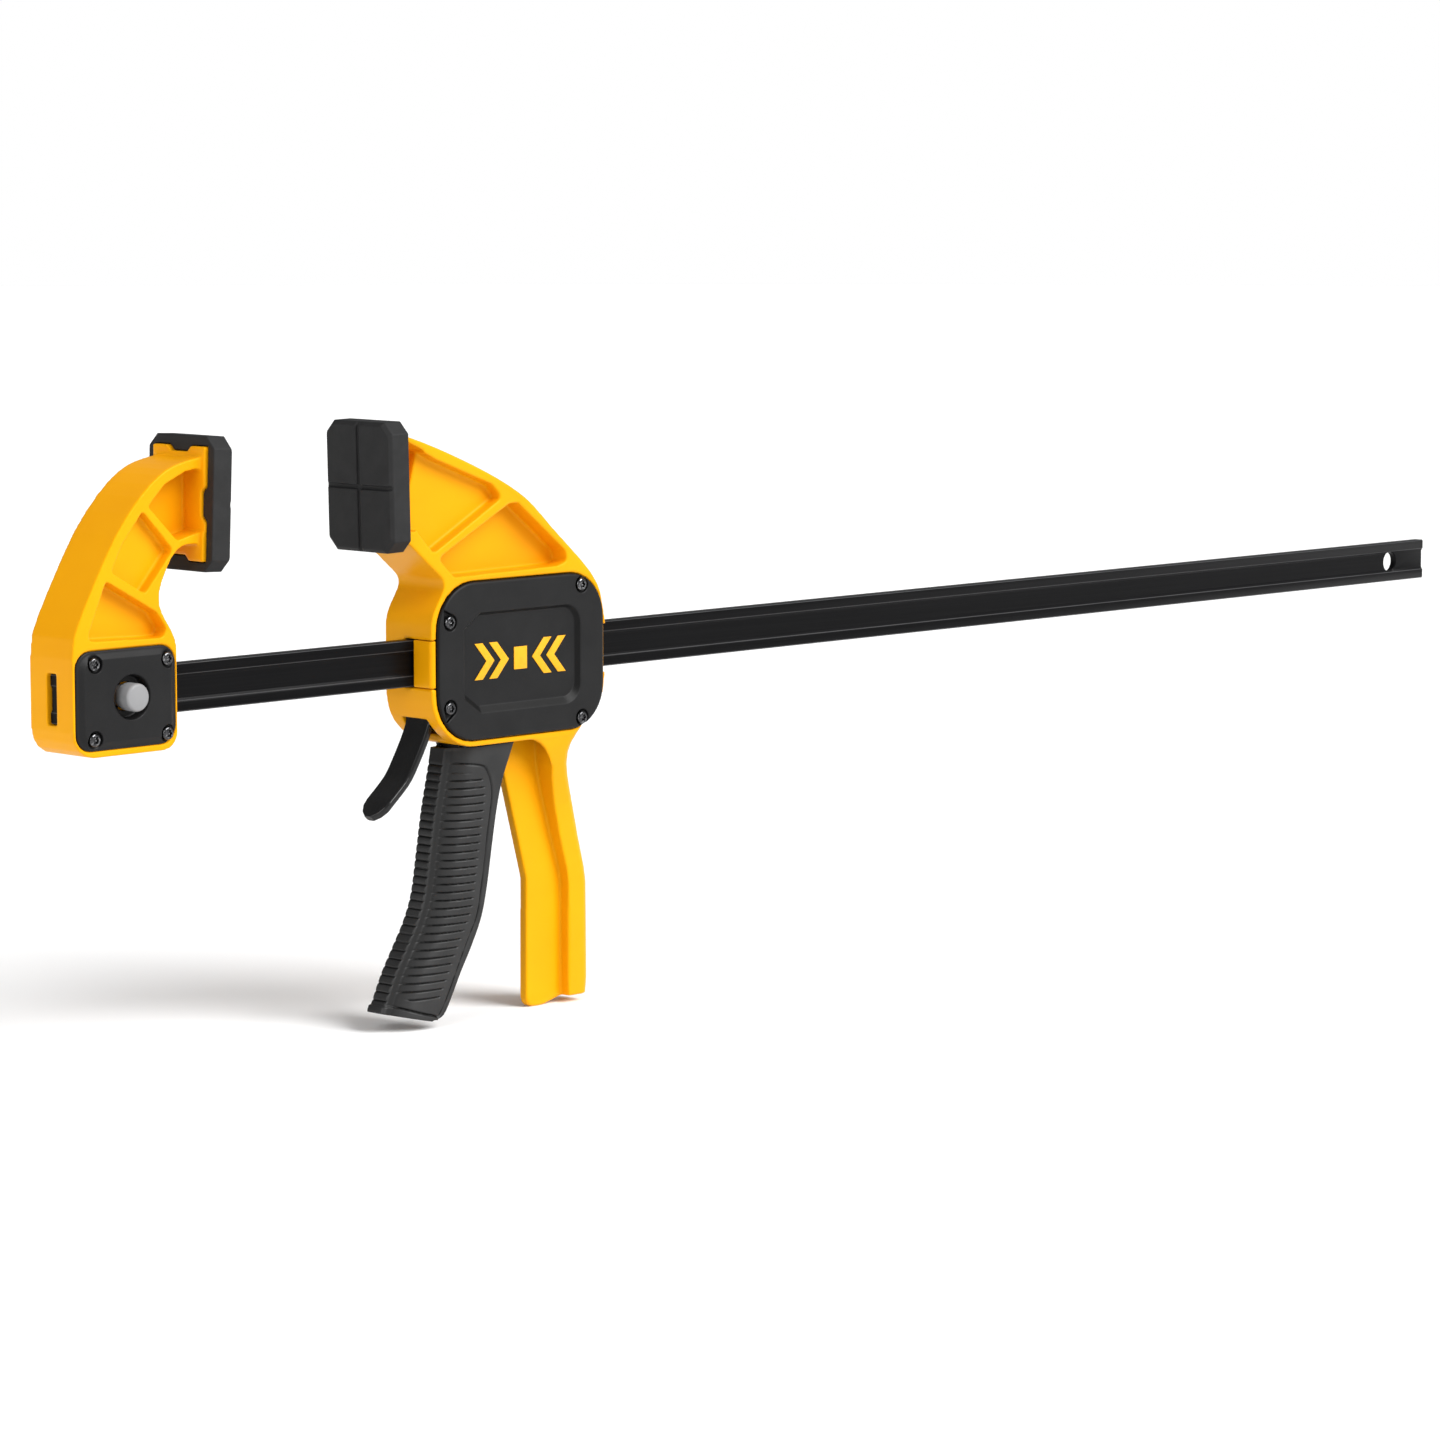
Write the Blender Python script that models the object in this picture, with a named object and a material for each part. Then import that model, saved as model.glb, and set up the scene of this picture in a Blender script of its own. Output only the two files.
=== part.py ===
"""One-handed trigger bar clamp: a fixed jaw on the end of an I-section bar, and a sliding head
with a squeeze trigger, a brake release lever and a rear handle.

Lengths are in millimetres, measured along the bar (x) from the fixed jaw's end face, across it
(y) from its middle plane, and up (z) from its centre line. Meshes are made in metres.
"""

import math

import bmesh
import bpy
from mathutils import Matrix, Vector

MM = 0.001
GAP = 0.3  # between pieces that touch
RUNNING_GAP = 0.08  # between a pin and its hole

# Bar
BAR_START = 1.5
BAR_END = 856.0
BAR_HEIGHT = 19.0
BAR_THICKNESS = 5.2
BAR_WEB = 3.4
BAR_FLANGE = 4.2
BAR_HOLE_RADIUS = 4.75
BUTTON_X = 27.2
FAR_HOLE_X = 830.0
SLOT_HALF_HEIGHT = BAR_HEIGHT / 2 + GAP
SLOT_HALF_WIDTH = BAR_THICKNESS / 2 + GAP

# Fixed jaw
JAW_HALF_WIDTH = 13.0
JAW_FRONT_X = 50.4
JAW_BOTTOM_Z = -22.0
COVER_RECESS = 1.2
COVER_FACE = 14.4
FIXED_SCREWS = ((9.7, 13.6), (45.0, 13.2), (9.5, -15.0), (44.8, -15.4))

# Sliding head
HEAD_HALF_WIDTH = 14.0
HEAD_FRONT_X = 180.2
HEAD_REAR_X = 277.4
HEAD_WALL_X = 185.2
HEAD_REAR_WALL_X = 268.0
HEAD_COVER_FACE = 15.0
HEAD_RECESS = 12.0
LIP_Z = -34.8
GRIP_ROOM = 11.8  # half-width inside the housing, clear of the trigger
HEAD_SCREWS = ((189.6, 16.6), (262.8, 27.3), (189.5, -18.1), (262.9, -27.8))

# Pads
PAD_WIDTH = 39.2
PAD_HEIGHT = 52.0
PAD_CHAMFER = 4.7
PAD_GROOVE = 1.8
PAD_THICKNESS = 10.0
PLATE_WIDTH = 31.0
PLATE_HEIGHT = 44.0
PLATE_THICKNESS = 3.0
FIXED_PAD_CENTRE = (63.5, 71.0)
FIXED_TOE_IN = 2.4
MOVING_PAD_CENTRE = (164.2, 72.5)
MOVING_TOE_IN = -1.3

# Mechanism
TRIGGER_PIVOT = (214.0, 15.5)
PIN_RADIUS = 2.5
BRAKE_PIVOT = (193.0, 18.0)
BRAKE_TILT = 5.0
BRAKE_PLATE = 3.0
BRAKE_RIB_X = 200.6
LEVER_TIP = (158.6, -61.0)
LEVER_HALF_WIDTH = 7.2
LEVER_THICKNESS = 3.2
DRIVE_PLATES_X = 221.9
DRIVE_PLATE = 2.8
DRIVE_PLATES = 3
SPRING_END_X = HEAD_REAR_WALL_X - GAP

# Where the clamp sits: its middle over the origin and its lowest point on the ground
HANDLE_BOTTOM_Z = -148.3
ORIGIN = (BAR_END / 2, 0.0, HANDLE_BOTTOM_Z)


def clear_scene():
    for obj in list(bpy.data.objects):
        bpy.data.objects.remove(obj)


def material(name, colour, roughness, metallic=0.0):
    made = bpy.data.materials.new(name)
    made.use_nodes = True
    shader = made.node_tree.nodes["Principled BSDF"]
    shader.inputs["Base Color"].default_value = (*colour, 1.0)
    shader.inputs["Roughness"].default_value = roughness
    shader.inputs["Metallic"].default_value = metallic
    made.diffuse_color = (*colour, 1.0)
    return made


def empty(name, x, z, parent=None):
    """A frame on a joint's axis, placed in the clamp's own coordinates."""
    made = bpy.data.objects.new(name, None)
    bpy.context.scene.collection.objects.link(made)
    made["centre"] = (x, 0.0, z)
    start = Vector(parent["centre"]) if parent else Vector(ORIGIN)
    made.location = (Vector((x, 0.0, z)) - start) * MM
    made.parent = parent
    return made


def finish(mesh, name, finish_material, frame):
    """Turns a bmesh in millimetres into an object in the given frame."""
    bmesh.ops.recalc_face_normals(mesh, faces=mesh.faces)
    bmesh.ops.scale(mesh, vec=(MM, MM, MM), verts=mesh.verts)
    data = bpy.data.meshes.new(name)
    mesh.to_mesh(data)
    mesh.free()
    return place(data, name, finish_material, frame)


def place(data, name, finish_material, frame):
    made = bpy.data.objects.new(name, data)
    bpy.context.scene.collection.objects.link(made)
    made.parent = frame
    made.location = -Vector(frame["centre"]) * MM
    if finish_material:
        data.materials.append(finish_material)
    return made


def helper(obj):
    obj.hide_render = True
    obj.display_type = "WIRE"
    return obj


def boolean(target, operation, helpers):
    for index, other in enumerate(helpers):
        modifier = target.modifiers.new(f"{operation.lower()}_{index}", "BOOLEAN")
        modifier.operation = operation
        modifier.solver = "EXACT"
        modifier.object = helper(other)


def cut(target, *cutters):
    boolean(target, "DIFFERENCE", cutters)


def join(target, *pieces):
    boolean(target, "UNION", pieces)


def arc(x, z, radius, start, end, steps):
    """Points on an arc in the xz plane, with angles in degrees from +x towards +z."""
    points = []
    for step in range(steps + 1):
        angle = math.radians(start + (end - start) * step / steps)
        points.append((x + radius * math.cos(angle), z + radius * math.sin(angle)))
    return points


def rounded(corners, steps=4):
    """An outline from (x, z, radius) corners, each turned into an arc."""
    outline = []
    count = len(corners)
    for index, (x, z, radius) in enumerate(corners):
        corner = Vector((x, z))
        if not radius:
            outline.append((x, z))
            continue
        before = Vector(corners[index - 1][:2]) - corner
        after = Vector(corners[(index + 1) % count][:2]) - corner
        half = before.angle(after) / 2
        reach = min(radius / math.tan(half), 0.49 * min(before.length, after.length))
        start = corner + before.normalized() * reach
        end = corner + after.normalized() * reach
        middle = corner + (before.normalized() + after.normalized()).normalized() * (reach / math.cos(half))
        spread = (start - middle).angle_signed(end - middle)
        for step in range(steps + 1):
            turn = Matrix.Rotation(-spread * step / steps, 2)
            outline.append(tuple(middle + turn @ (start - middle)))
    return outline


def smooth(points, steps=2):
    """A curve through the points, with the first and last kept."""
    ends = [points[0]] + list(points) + [points[-1]]
    curve = []
    for index in range(1, len(ends) - 2):
        p0, p1, p2, p3 = (Vector(p) for p in ends[index - 1:index + 3])
        for step in range(steps):
            t = step / steps
            bend = 2 * p0 - 5 * p1 + 4 * p2 - p3
            twist = 3 * p1 - p0 - 3 * p2 + p3
            curve.append(tuple(p1 + 0.5 * t * ((p2 - p0) + t * (bend + t * twist))))
    curve.append(tuple(points[-1]))
    return curve


def prism(name, outline, y_low, y_high, frame, finish_material=None):
    """An outline in the xz plane, extruded across the clamp."""
    mesh = bmesh.new()
    corners = [mesh.verts.new((x, y_low, z)) for x, z in outline]
    face = mesh.faces.new(corners)
    pulled = bmesh.ops.extrude_face_region(mesh, geom=[face])
    moved = [item for item in pulled["geom"] if isinstance(item, bmesh.types.BMVert)]
    bmesh.ops.translate(mesh, vec=(0, y_high - y_low, 0), verts=moved)
    return finish(mesh, name, finish_material, frame)


def box(name, x, y, z, frame, finish_material=None):
    """A box from (low, high) pairs."""
    outline = [(x[0], z[0]), (x[1], z[0]), (x[1], z[1]), (x[0], z[1])]
    return prism(name, outline, y[0], y[1], frame, finish_material)


def rod(name, x, z, radius, y_low, y_high, frame, finish_material=None, sides=24):
    """A round rod across the clamp."""
    outline = arc(x, z, radius, 0, 360 - 360 / sides, sides - 1)
    return prism(name, outline, y_low, y_high, frame, finish_material)


def loft(name, rings, frame, finish_material=None):
    """A solid through closed rings of (x, y, z) points, capped at both ends."""
    mesh = bmesh.new()
    loops = [[mesh.verts.new(point) for point in ring] for ring in rings]
    count = len(loops[0])
    for lower, upper in zip(loops, loops[1:]):
        for index in range(count):
            after = (index + 1) % count
            mesh.faces.new((lower[index], lower[after], upper[after], upper[index]))
    mesh.faces.new(loops[0])
    mesh.faces.new(loops[-1])
    return finish(mesh, name, finish_material, frame)


def coil(name, centre, along, coil_radius, wire_radius, length, turns, frame, finish_material):
    """A compression spring wound along +x or +y, with its closed end turns left out."""
    steps = 14 * turns
    sides = 6
    rings = []
    for step in range(steps + 1):
        angle = 2 * math.pi * turns * step / steps
        travel = wire_radius + (length - 2 * wire_radius) * step / steps
        ring = []
        for side in range(sides):
            turn = 2 * math.pi * side / sides
            radius = coil_radius + wire_radius * math.cos(turn)
            rise = travel + wire_radius * math.sin(turn)
            across = radius * math.cos(angle)
            up = radius * math.sin(angle)
            offset = (rise, across, up) if along == "x" else (across, rise, up)
            ring.append(tuple(Vector(centre) + Vector(offset)))
        rings.append(ring)
    return loft(name, rings, frame, finish_material)


def make_materials():
    return {
        "yellow": material("yellow_nylon", (0.95, 0.56, 0.01), 0.38),
        "cover": material("black_nylon", (0.022, 0.022, 0.023), 0.5),
        "grip": material("black_grip", (0.018, 0.018, 0.019), 0.55),
        "rubber": material("black_pad", (0.02, 0.02, 0.02), 0.7),
        "bar": material("black_oxide_steel", (0.012, 0.012, 0.013), 0.3, 0.8),
        "button": material("grey_plastic", (0.28, 0.28, 0.28), 0.45),
        "steel": material("bright_steel", (0.5, 0.5, 0.5), 0.3, 1.0),
        "screw": material("black_screw", (0.03, 0.03, 0.03), 0.25, 0.9),
    }


def bar(frame, finishes):
    """I-section bar with a latch hole near each end."""
    half_height = BAR_HEIGHT / 2
    half = BAR_THICKNESS / 2
    web = BAR_WEB / 2
    slope = half - web
    inner = half_height - BAR_FLANGE
    side = [(half, half_height), (half, inner), (web, inner - slope), (web, slope - inner), (half, -inner),
            (half, -half_height)]
    section = side + [(-y, -z) for y, z in side]
    rings = [[(x, y, z) for y, z in section] for x in (BAR_START, BAR_END)]
    made = loft("bar", rings, frame, finishes["bar"])
    for index, x in enumerate((BUTTON_X, FAR_HOLE_X)):
        cut(made, rod(f"bar_hole_{index}", x, 0, BAR_HOLE_RADIUS, -5, 5, frame))
    return made


def jaw_plate(name, centre, toe_in, direction, frame, grow=0.0):
    """The flat plate that carries a pad, notched at the middle of each side."""
    long_half = PLATE_HEIGHT / 2 + grow
    wide_half = PLATE_WIDTH / 2 + grow
    notch = 7.0 - grow
    deep = 2.2
    quarter = [(wide_half, long_half), (notch, long_half), (notch - deep, long_half - deep)]
    sides = [(1, 1), (-1, 1), (-1, -1), (1, -1)]
    outline = []
    for index, (across, up) in enumerate(sides):
        corner = [(across * y, up * z) for y, z in quarter]
        edge = [(across * wide_half, up * notch), (across * (wide_half - deep), up * (notch - deep))]
        run = [edge[1], edge[0], corner[0], corner[1], corner[2]]
        outline += run if index % 2 == 0 else run[::-1]
    thickness = (-2.5, PLATE_THICKNESS + grow) if grow else (-1.5, PLATE_THICKNESS)
    rings = [[(direction * x, y, z) for y, z in outline] for x in thickness]
    return tilted(loft(name, rings, frame), centre, toe_in)


def tilted(obj, centre, degrees):
    """Moves a piece made about the origin to its place, leaning by the toe-in."""
    place_at = Matrix.Translation(Vector((centre[0], 0, centre[1])) * MM)
    obj.data.transform(place_at @ Matrix.Rotation(math.radians(degrees), 4, "Y"))
    return obj


def pad(name, centre, toe_in, direction, frame, finish_material):
    """A chamfered pad with a cross groove in its face, open behind where the plate sits."""
    half_wide = PAD_WIDTH / 2
    half_tall = PAD_HEIGHT / 2
    cut_off = PAD_CHAMFER
    octagon = []
    for across, up in ((1, 1), (-1, 1), (-1, -1), (1, -1)):
        pair = [(across * half_wide, up * (half_tall - cut_off)),
                (across * (half_wide - cut_off), up * half_tall)]
        octagon += pair if across * up > 0 else pair[::-1]
    edge = 1.4
    shrink_wide = 1 - edge / half_wide
    shrink_tall = 1 - edge / half_tall
    rings = []
    steps = ((0.0, 1, 1), (PAD_THICKNESS - edge, 1, 1), (PAD_THICKNESS, shrink_wide, shrink_tall))
    for depth, wide, tall in steps:
        rings.append([(direction * depth, y * wide, z * tall) for y, z in octagon])
    made = tilted(loft(name, rings, frame, finish_material), centre, toe_in)
    reach = sorted((direction * (PAD_THICKNESS - 1.2), direction * (PAD_THICKNESS + 3)))
    grooves = []
    for turn, (y, z) in enumerate(((PAD_GROOVE / 2, half_tall + 3), (half_wide + 3, PAD_GROOVE / 2))):
        groove = box(f"{name}_groove_{turn}", reach, (-y, y), (-z, z), frame)
        grooves.append(tilted(groove, centre, toe_in))
    pocket = jaw_plate(f"{name}_pocket", centre, toe_in, direction, frame, grow=GAP)
    cut(made, pocket, *grooves)
    return made


def fixed_jaw(frame, finishes):
    """Yellow jaw body on the end of the bar, ribbed on both sides."""
    back = smooth([(62.8, 89.0), (57.3, 88.1), (50.1, 86.4), (43.0, 83.0), (33.5, 75.3), (21.6, 61.3),
                   (10.6, 43.0), (4.0, 30.8), (0.9, 23.8)])
    foot = rounded([(0, 16.0, 0), (0, JAW_BOTTOM_Z, 10), (JAW_FRONT_X, JAW_BOTTOM_Z, 7),
                    (JAW_FRONT_X, 12.0, 0)])
    throat = smooth([(50.4, 16.0), (49.3, 21.0), (46.6, 25.8), (43.4, 30.7), (42.0, 35.8), (43.2, 41.6),
                     (45.9, 47.1), (49.0, 52.2), (53.2, 55.3), (57.6, 56.0), (63.6, 56.0)])
    outline = foot + throat + back
    made = prism("fixed_jaw", outline, -JAW_HALF_WIDTH, JAW_HALF_WIDTH, frame, finishes["yellow"])
    join(made, jaw_plate("fixed_jaw_plate", FIXED_PAD_CENTRE, FIXED_TOE_IN, 1, frame))
    pockets = (
        ([(7.0, 22.3, 2), (43.6, 21.2, 2.5), (45.4, 24.6, 2), (40.6, 31.2, 1.5), (16.6, 44.4, 1)], 6.5),
        ([(19.3, 47.6, 1), (35.2, 38.6, 1.5), (49.0, 54.4, 2), (34.6, 69.8, 1), (24.5, 57.6, 1)], 5.0),
        ([(37.4, 71.6, 1), (51.4, 57.8, 2), (62.6, 60.6, 1), (62.6, 84.6, 1), (56.0, 84.0, 4),
          (45.5, 79.4, 3)], 10.5),
    )
    for index, (corners, depth) in enumerate(pockets):
        for side in (-1, 1):
            reach = sorted((side * (JAW_HALF_WIDTH - depth), side * (JAW_HALF_WIDTH + 4)))
            cut(made, prism(f"fixed_jaw_pocket_{index}_{side}", rounded(corners, 3), *reach, frame))
    cut(made, box("fixed_jaw_slot", (-5, 60), (-SLOT_HALF_WIDTH, SLOT_HALF_WIDTH),
                  (-SLOT_HALF_HEIGHT, SLOT_HALF_HEIGHT), frame))
    cut(made, prism("fixed_cover_recess", fixed_cover_outline(GAP), -JAW_HALF_WIDTH - 3,
                    COVER_RECESS - JAW_HALF_WIDTH, frame))
    cut(made, rod("fixed_jaw_cup", BUTTON_X, 0, 10.2, -20, -7.9, frame))
    cut(made, rod("fixed_jaw_bore", BUTTON_X, 0, 4.6, -10, 11.6, frame))
    for index, (x, z) in enumerate(FIXED_SCREWS):
        cut(made, rod(f"fixed_screw_hole_{index}", x, z, 1.7, -20, -4.5, frame, sides=12))
    return made


def fixed_cover_outline(grow=0.0):
    left, right, low, high = 1.3, 49.2, -19.3, 18.5
    return rounded([(left - grow, low - grow, 7), (right + grow, low - grow, 7),
                    (right + grow, high + grow, 7), (left - grow, high + grow, 7)])


def screw_seats(cover, screws, face, frame):
    """Counterbores and clearance holes for a cover's screws."""
    for index, (x, z) in enumerate(screws):
        seat = rod(f"{cover.name}_seat_{index}", x, z, 3.2, -face - 1, -face + 1.0, frame, sides=16)
        hole = rod(f"{cover.name}_hole_{index}", x, z, 1.7, -face - 1, -face + 9, frame, sides=12)
        cut(cover, seat, hole)


def fixed_cover(frame, finishes):
    """Side cover with a cup around the release button."""
    inner = COVER_RECESS - JAW_HALF_WIDTH - GAP
    made = prism("fixed_jaw_cover", fixed_cover_outline(), -COVER_FACE, inner, frame, finishes["cover"])
    join(made, rod("cover_cup", BUTTON_X, 0, 9.8, inner - 1.0, -8.2, frame))
    cut(made, rod("cover_cup_inside", BUTTON_X, 0, 8.4, -20, -10.0, frame))
    cut(made, rod("cover_button_hole", BUTTON_X, 0, 5.7, -12, -5, frame))
    screw_seats(made, FIXED_SCREWS, COVER_FACE, frame)
    return made


def screws(prefix, places, face, frame, finishes):
    """Identical socket screws, sharing one mesh."""
    mesh = bmesh.new()
    sides = 12
    shank, head, socket = 1.4, 2.6, 1.2
    profile = ((shank, 6.2), (shank, 0.0), (head, 0.0), (head, -1.1), (1.9, -1.5), (socket, -1.5),
               (socket, -0.6))
    loops = []
    for radius, y in profile:
        ring = arc(0, 0, radius, 0, 360 - 360 / sides, sides - 1)
        loops.append([mesh.verts.new((x, y, z)) for x, z in ring])
    for lower, upper in zip(loops, loops[1:]):
        for index in range(sides):
            after = (index + 1) % sides
            mesh.faces.new((lower[index], lower[after], upper[after], upper[index]))
    mesh.faces.new(loops[0])
    mesh.faces.new(loops[-1])
    bmesh.ops.recalc_face_normals(mesh, faces=mesh.faces)
    bmesh.ops.scale(mesh, vec=(MM, MM, MM), verts=mesh.verts)
    data = bpy.data.meshes.new(prefix)
    mesh.to_mesh(data)
    mesh.free()
    data.materials.append(finishes["screw"])
    for index, (x, z) in enumerate(places):
        made = place(data, f"{prefix}_{index + 1}", None, frame)
        made.location += Vector((x, 0.7 - face, z)) * MM


def button(frame, finishes):
    """Release button with its plunger through the bar's hole."""
    made = rod("release_button", BUTTON_X, 0, 5.4, -18.6, -11.6, frame, finishes["button"])
    plunger = rod("button_plunger", BUTTON_X, 0, 4.2, -12.6, 5.0, frame)
    join(made, plunger)
    return made


def head_cover_outline(grow=0.0):
    left, right, high = 183.0 - grow, 275.4 + grow, 32.2 + grow
    return rounded([(left, -high, 20), (right, -high, 18), (right, high, 19), (left, high, 20)], 6)


def head_outline():
    top = smooth([(HEAD_REAR_X, 10.0), (274.7, 23.0), (270.6, 30.0), (264.0, 37.0), (247.7, 51.2),
                  (236.7, 61.3), (228.2, 67.2), (216.6, 73.4), (201.2, 80.2), (183.8, 87.0), (170.8, 91.4),
                  (165.0, 93.0)])
    throat = rounded([(165.0, 52.4, 0), (188.9, 32.4, 5), (HEAD_FRONT_X, 18.5, 16),
                      (HEAD_FRONT_X, -8.0, 0)])
    chin = smooth([(180.4, -14.0), (181.5, -19.2), (184.1, -24.3), (188.6, -28.9), (194.0, -32.6),
                   (200.0, -34.5)])
    heel = rounded([(204.0, LIP_Z, 0), (258.0, LIP_Z, 8), (275.4, -22.0, 12), (HEAD_REAR_X, -8.0, 0)])
    return throat + chin + heel + top


def rear_handle(frame):
    """The palm flange, widening into the housing, and the thin web in front of it."""
    stations = ((-30, 248.0, 267.0, 13.9), (-35.0, 248.0, 262.2, 13.8), (-38.0, 248.0, 259.8, 13.5),
                (-42.0, 248.0, 258.4, 12.9), (-46.5, 248.4, 258.6, 12.0), (-52.0, 249.4, 260.2, 10.8),
                (-57.0, 250.6, 262.0, 9.9), (-64.0, 252.6, 264.6, 8.8), (-80.0, 257.3, 269.2, 7.7),
                (-92.0, 261.2, 272.6, 7.3), (-98.0, 262.0, 273.6, 7.2), (-138.0, 262.0, 274.0, 7.0),
                (-145.4, 262.4, 273.4, 6.8))
    rings = []
    for z, front, rear, half in stations:
        soft = min(3.2, half * 0.4)
        outline = [(front, -half), (rear - soft, -half), (rear - 0.3 * soft, 0.3 * soft - half),
                   (rear, soft - half)]
        mirrored = [(x, -y) for x, y in reversed(outline)]
        rings.append([(x, y, z) for x, y in outline + mirrored])
    flange = loft("handle_flange", rings, frame)
    web_outline = rounded([(226.0, -33.0, 0), (242.7, -94.0, 6), (242.5, HANDLE_BOTTOM_Z, 4),
                           (252.0, HANDLE_BOTTOM_Z, 8), (266.0, -144.6, 0), (266.0, -96.0, 0),
                           (252.0, -33.0, 0)])
    web = prism("handle_web", web_outline, -2.1, 2.1, frame)
    cheeks = []
    edge = ((-32.5, 230.5, 13.9), (-34.5, 234.0, 13.8), (-35.4, 237.7, 13.7), (-36.9, 240.7, 13.6),
            (-39.1, 243.3, 13.4), (-42.7, 245.8, 12.8), (-46.5, 247.6, 12.0))
    inside_flange = 253.0
    for side in (-1, 1):
        inner = side * GRIP_ROOM
        rings = []
        for z, x, half in edge:
            outer = side * half
            rings.append([(x, inner, z), (x, outer, z), (inside_flange, outer, z), (inside_flange, inner, z)])
        cheeks.append(loft(f"handle_cheek_{side}", rings, frame))
    return flange, web, *cheeks


def head_body(frame, finishes):
    """Yellow housing, moving jaw and rear handle in one moulding."""
    made = prism("head_body", head_outline(), -HEAD_HALF_WIDTH, HEAD_HALF_WIDTH, frame, finishes["yellow"])
    join(made, *rear_handle(frame))
    join(made, jaw_plate("moving_jaw_plate", MOVING_PAD_CENTRE, MOVING_TOE_IN, -1, frame))
    pockets = (
        ([(176.8, 85.6, 1), (183.5, 82.2, 2), (213.8, 70.9, 3), (219.4, 65.3, 2), (182.0, 44.9, 2),
          (173.2, 54.0, 2), (173.2, 70.5, 3)], 5.5),
        ([(166.6, 90.6, 1), (177.6, 86.0, 2), (173.4, 70.5, 6), (173.4, 54.0, 2), (166.6, 54.4, 1)], 10.0),
        ([(223.2, 62.4, 2), (228.2, 62.6, 1.5), (254.6, 41.6, 2), (255.8, 37.2, 2), (250.0, 35.6, 1),
          (193.0, 34.6, 2.5), (184.6, 42.6, 1.5)], 9.0),
    )
    for index, (corners, depth) in enumerate(pockets):
        for side in (-1, 1):
            reach = sorted((side * (HEAD_HALF_WIDTH - depth), side * (HEAD_HALF_WIDTH + 4)))
            cut(made, prism(f"head_pocket_{index}_{side}", rounded(corners, 3), *reach, frame))
    outside = -HEAD_HALF_WIDTH - 3
    cut(made, prism("head_cover_recess", head_cover_outline(GAP), outside, -HEAD_RECESS, frame))
    brake_room = 7.6
    web_room = 2.8
    cut(made, box("brake_cavity", (HEAD_WALL_X, 206.5), (-brake_room, brake_room), (-30.0, 22.0), frame))
    cut(made, box("brake_window", (HEAD_WALL_X, 206.5), (outside, 0), (-12.4, 12.4), frame))
    cut(made, box("lever_slot", (183.6, 195.0), (-brake_room, brake_room), (-45.0, -19.5), frame))
    cut(made, box("grip_room", (199.8, 249.0), (-13.0, GRIP_ROOM), (-32.3, -19.0), frame))
    cut(made, box("grip_opening", (199.8, 247.8), (-GRIP_ROOM, -web_room), (-46.0, -31.0), frame))
    cut(made, box("grip_opening_far", (199.8, 247.8), (web_room, GRIP_ROOM), (-46.0, -31.0), frame))
    cut(made, box("grip_opening_front", (199.8, 225.5), (-GRIP_ROOM, GRIP_ROOM), (-46.0, -31.0), frame))
    drive_outline = [(202.5, -20.0), (258.0, -20.0), (HEAD_REAR_WALL_X, -13.0), (HEAD_REAR_WALL_X, 14.0),
                     (257.0, 24.0), (250.0, 27.0), (202.5, 27.0)]
    cut(made, prism("drive_cavity", drive_outline, outside, GRIP_ROOM, frame))
    for name, x in (("front_bar_slot", (170.0, 187.0)), ("rear_bar_slot", (266.0, 285.0))):
        cut(made, box(name, x, (outside, SLOT_HALF_WIDTH), (-SLOT_HALF_HEIGHT, SLOT_HALF_HEIGHT), frame))
    join(made, box("brake_spring_rib", (BRAKE_RIB_X, 202.3), (-8.2, 8.2), (-18.0, -10.3), frame))
    cut(made, rod("trigger_pin_hole", *TRIGGER_PIVOT, PIN_RADIUS + RUNNING_GAP, 0, 13.0, frame))
    for index, (x, z) in enumerate(HEAD_SCREWS):
        cut(made, rod(f"head_screw_hole_{index}", x, z, 1.7, -20, -5.0, frame, sides=12))
    return made


def panel_outline(inset=0.0):
    left, right, low, high = 197.0 + inset, 262.0 - inset, -21.5 + inset, 19.7 - inset
    chamfer = 9.0
    return rounded([(left, low + chamfer * 0.7, 1), (left + chamfer, low, 2), (right, low, 9),
                    (right, high, 9), (left + chamfer, high, 2), (left, high - chamfer * 0.7, 1)])


def head_cover(frame, finishes):
    """Side cover of the housing, with a sunk panel for the badge."""
    inner = -HEAD_RECESS - GAP
    made = prism("head_cover", head_cover_outline(), -HEAD_COVER_FACE, inner, frame, finishes["cover"])
    join(made, rod("pin_boss", *TRIGGER_PIVOT, 4.5, inner - 0.5, -9.8, frame))
    cut(made, rod("pin_boss_hole", *TRIGGER_PIVOT, PIN_RADIUS + RUNNING_GAP, -12.6, -5, frame))
    cut(made, prism("cover_panel", panel_outline(), -20, 1.0 - HEAD_COVER_FACE, frame))
    screw_seats(made, HEAD_SCREWS, HEAD_COVER_FACE, frame)
    return made


def badge(frame, finishes):
    """Plain plaque in the middle of the cover's panel."""
    outline = rounded([(207.0, -10.0, 3), (252.0, -10.0, 3), (252.0, 8.0, 3), (207.0, 8.0, 3)])
    face = 1.0 - HEAD_COVER_FACE
    return prism("badge", outline, face - GAP - 0.6, face - GAP, frame, finishes["yellow"])


def keepers(frame, finishes):
    """Blocks that close the housing's bar slots on the cover side."""
    reach = (GAP - HEAD_HALF_WIDTH, -SLOT_HALF_WIDTH)
    height = (-BAR_HEIGHT / 2, BAR_HEIGHT / 2)
    inset = 0.2
    walls = (("front", HEAD_FRONT_X, HEAD_WALL_X), ("rear", HEAD_REAR_WALL_X, HEAD_REAR_X))
    for name, start, end in walls:
        between = (start + inset, end - inset)
        keeper = box(f"{name}_bar_keeper", between, reach, height, frame, finishes["yellow"])
        cut(keeper, prism(f"{name}_keeper_recess", head_cover_outline(GAP), -20, GAP - HEAD_RECESS, frame))


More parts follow.
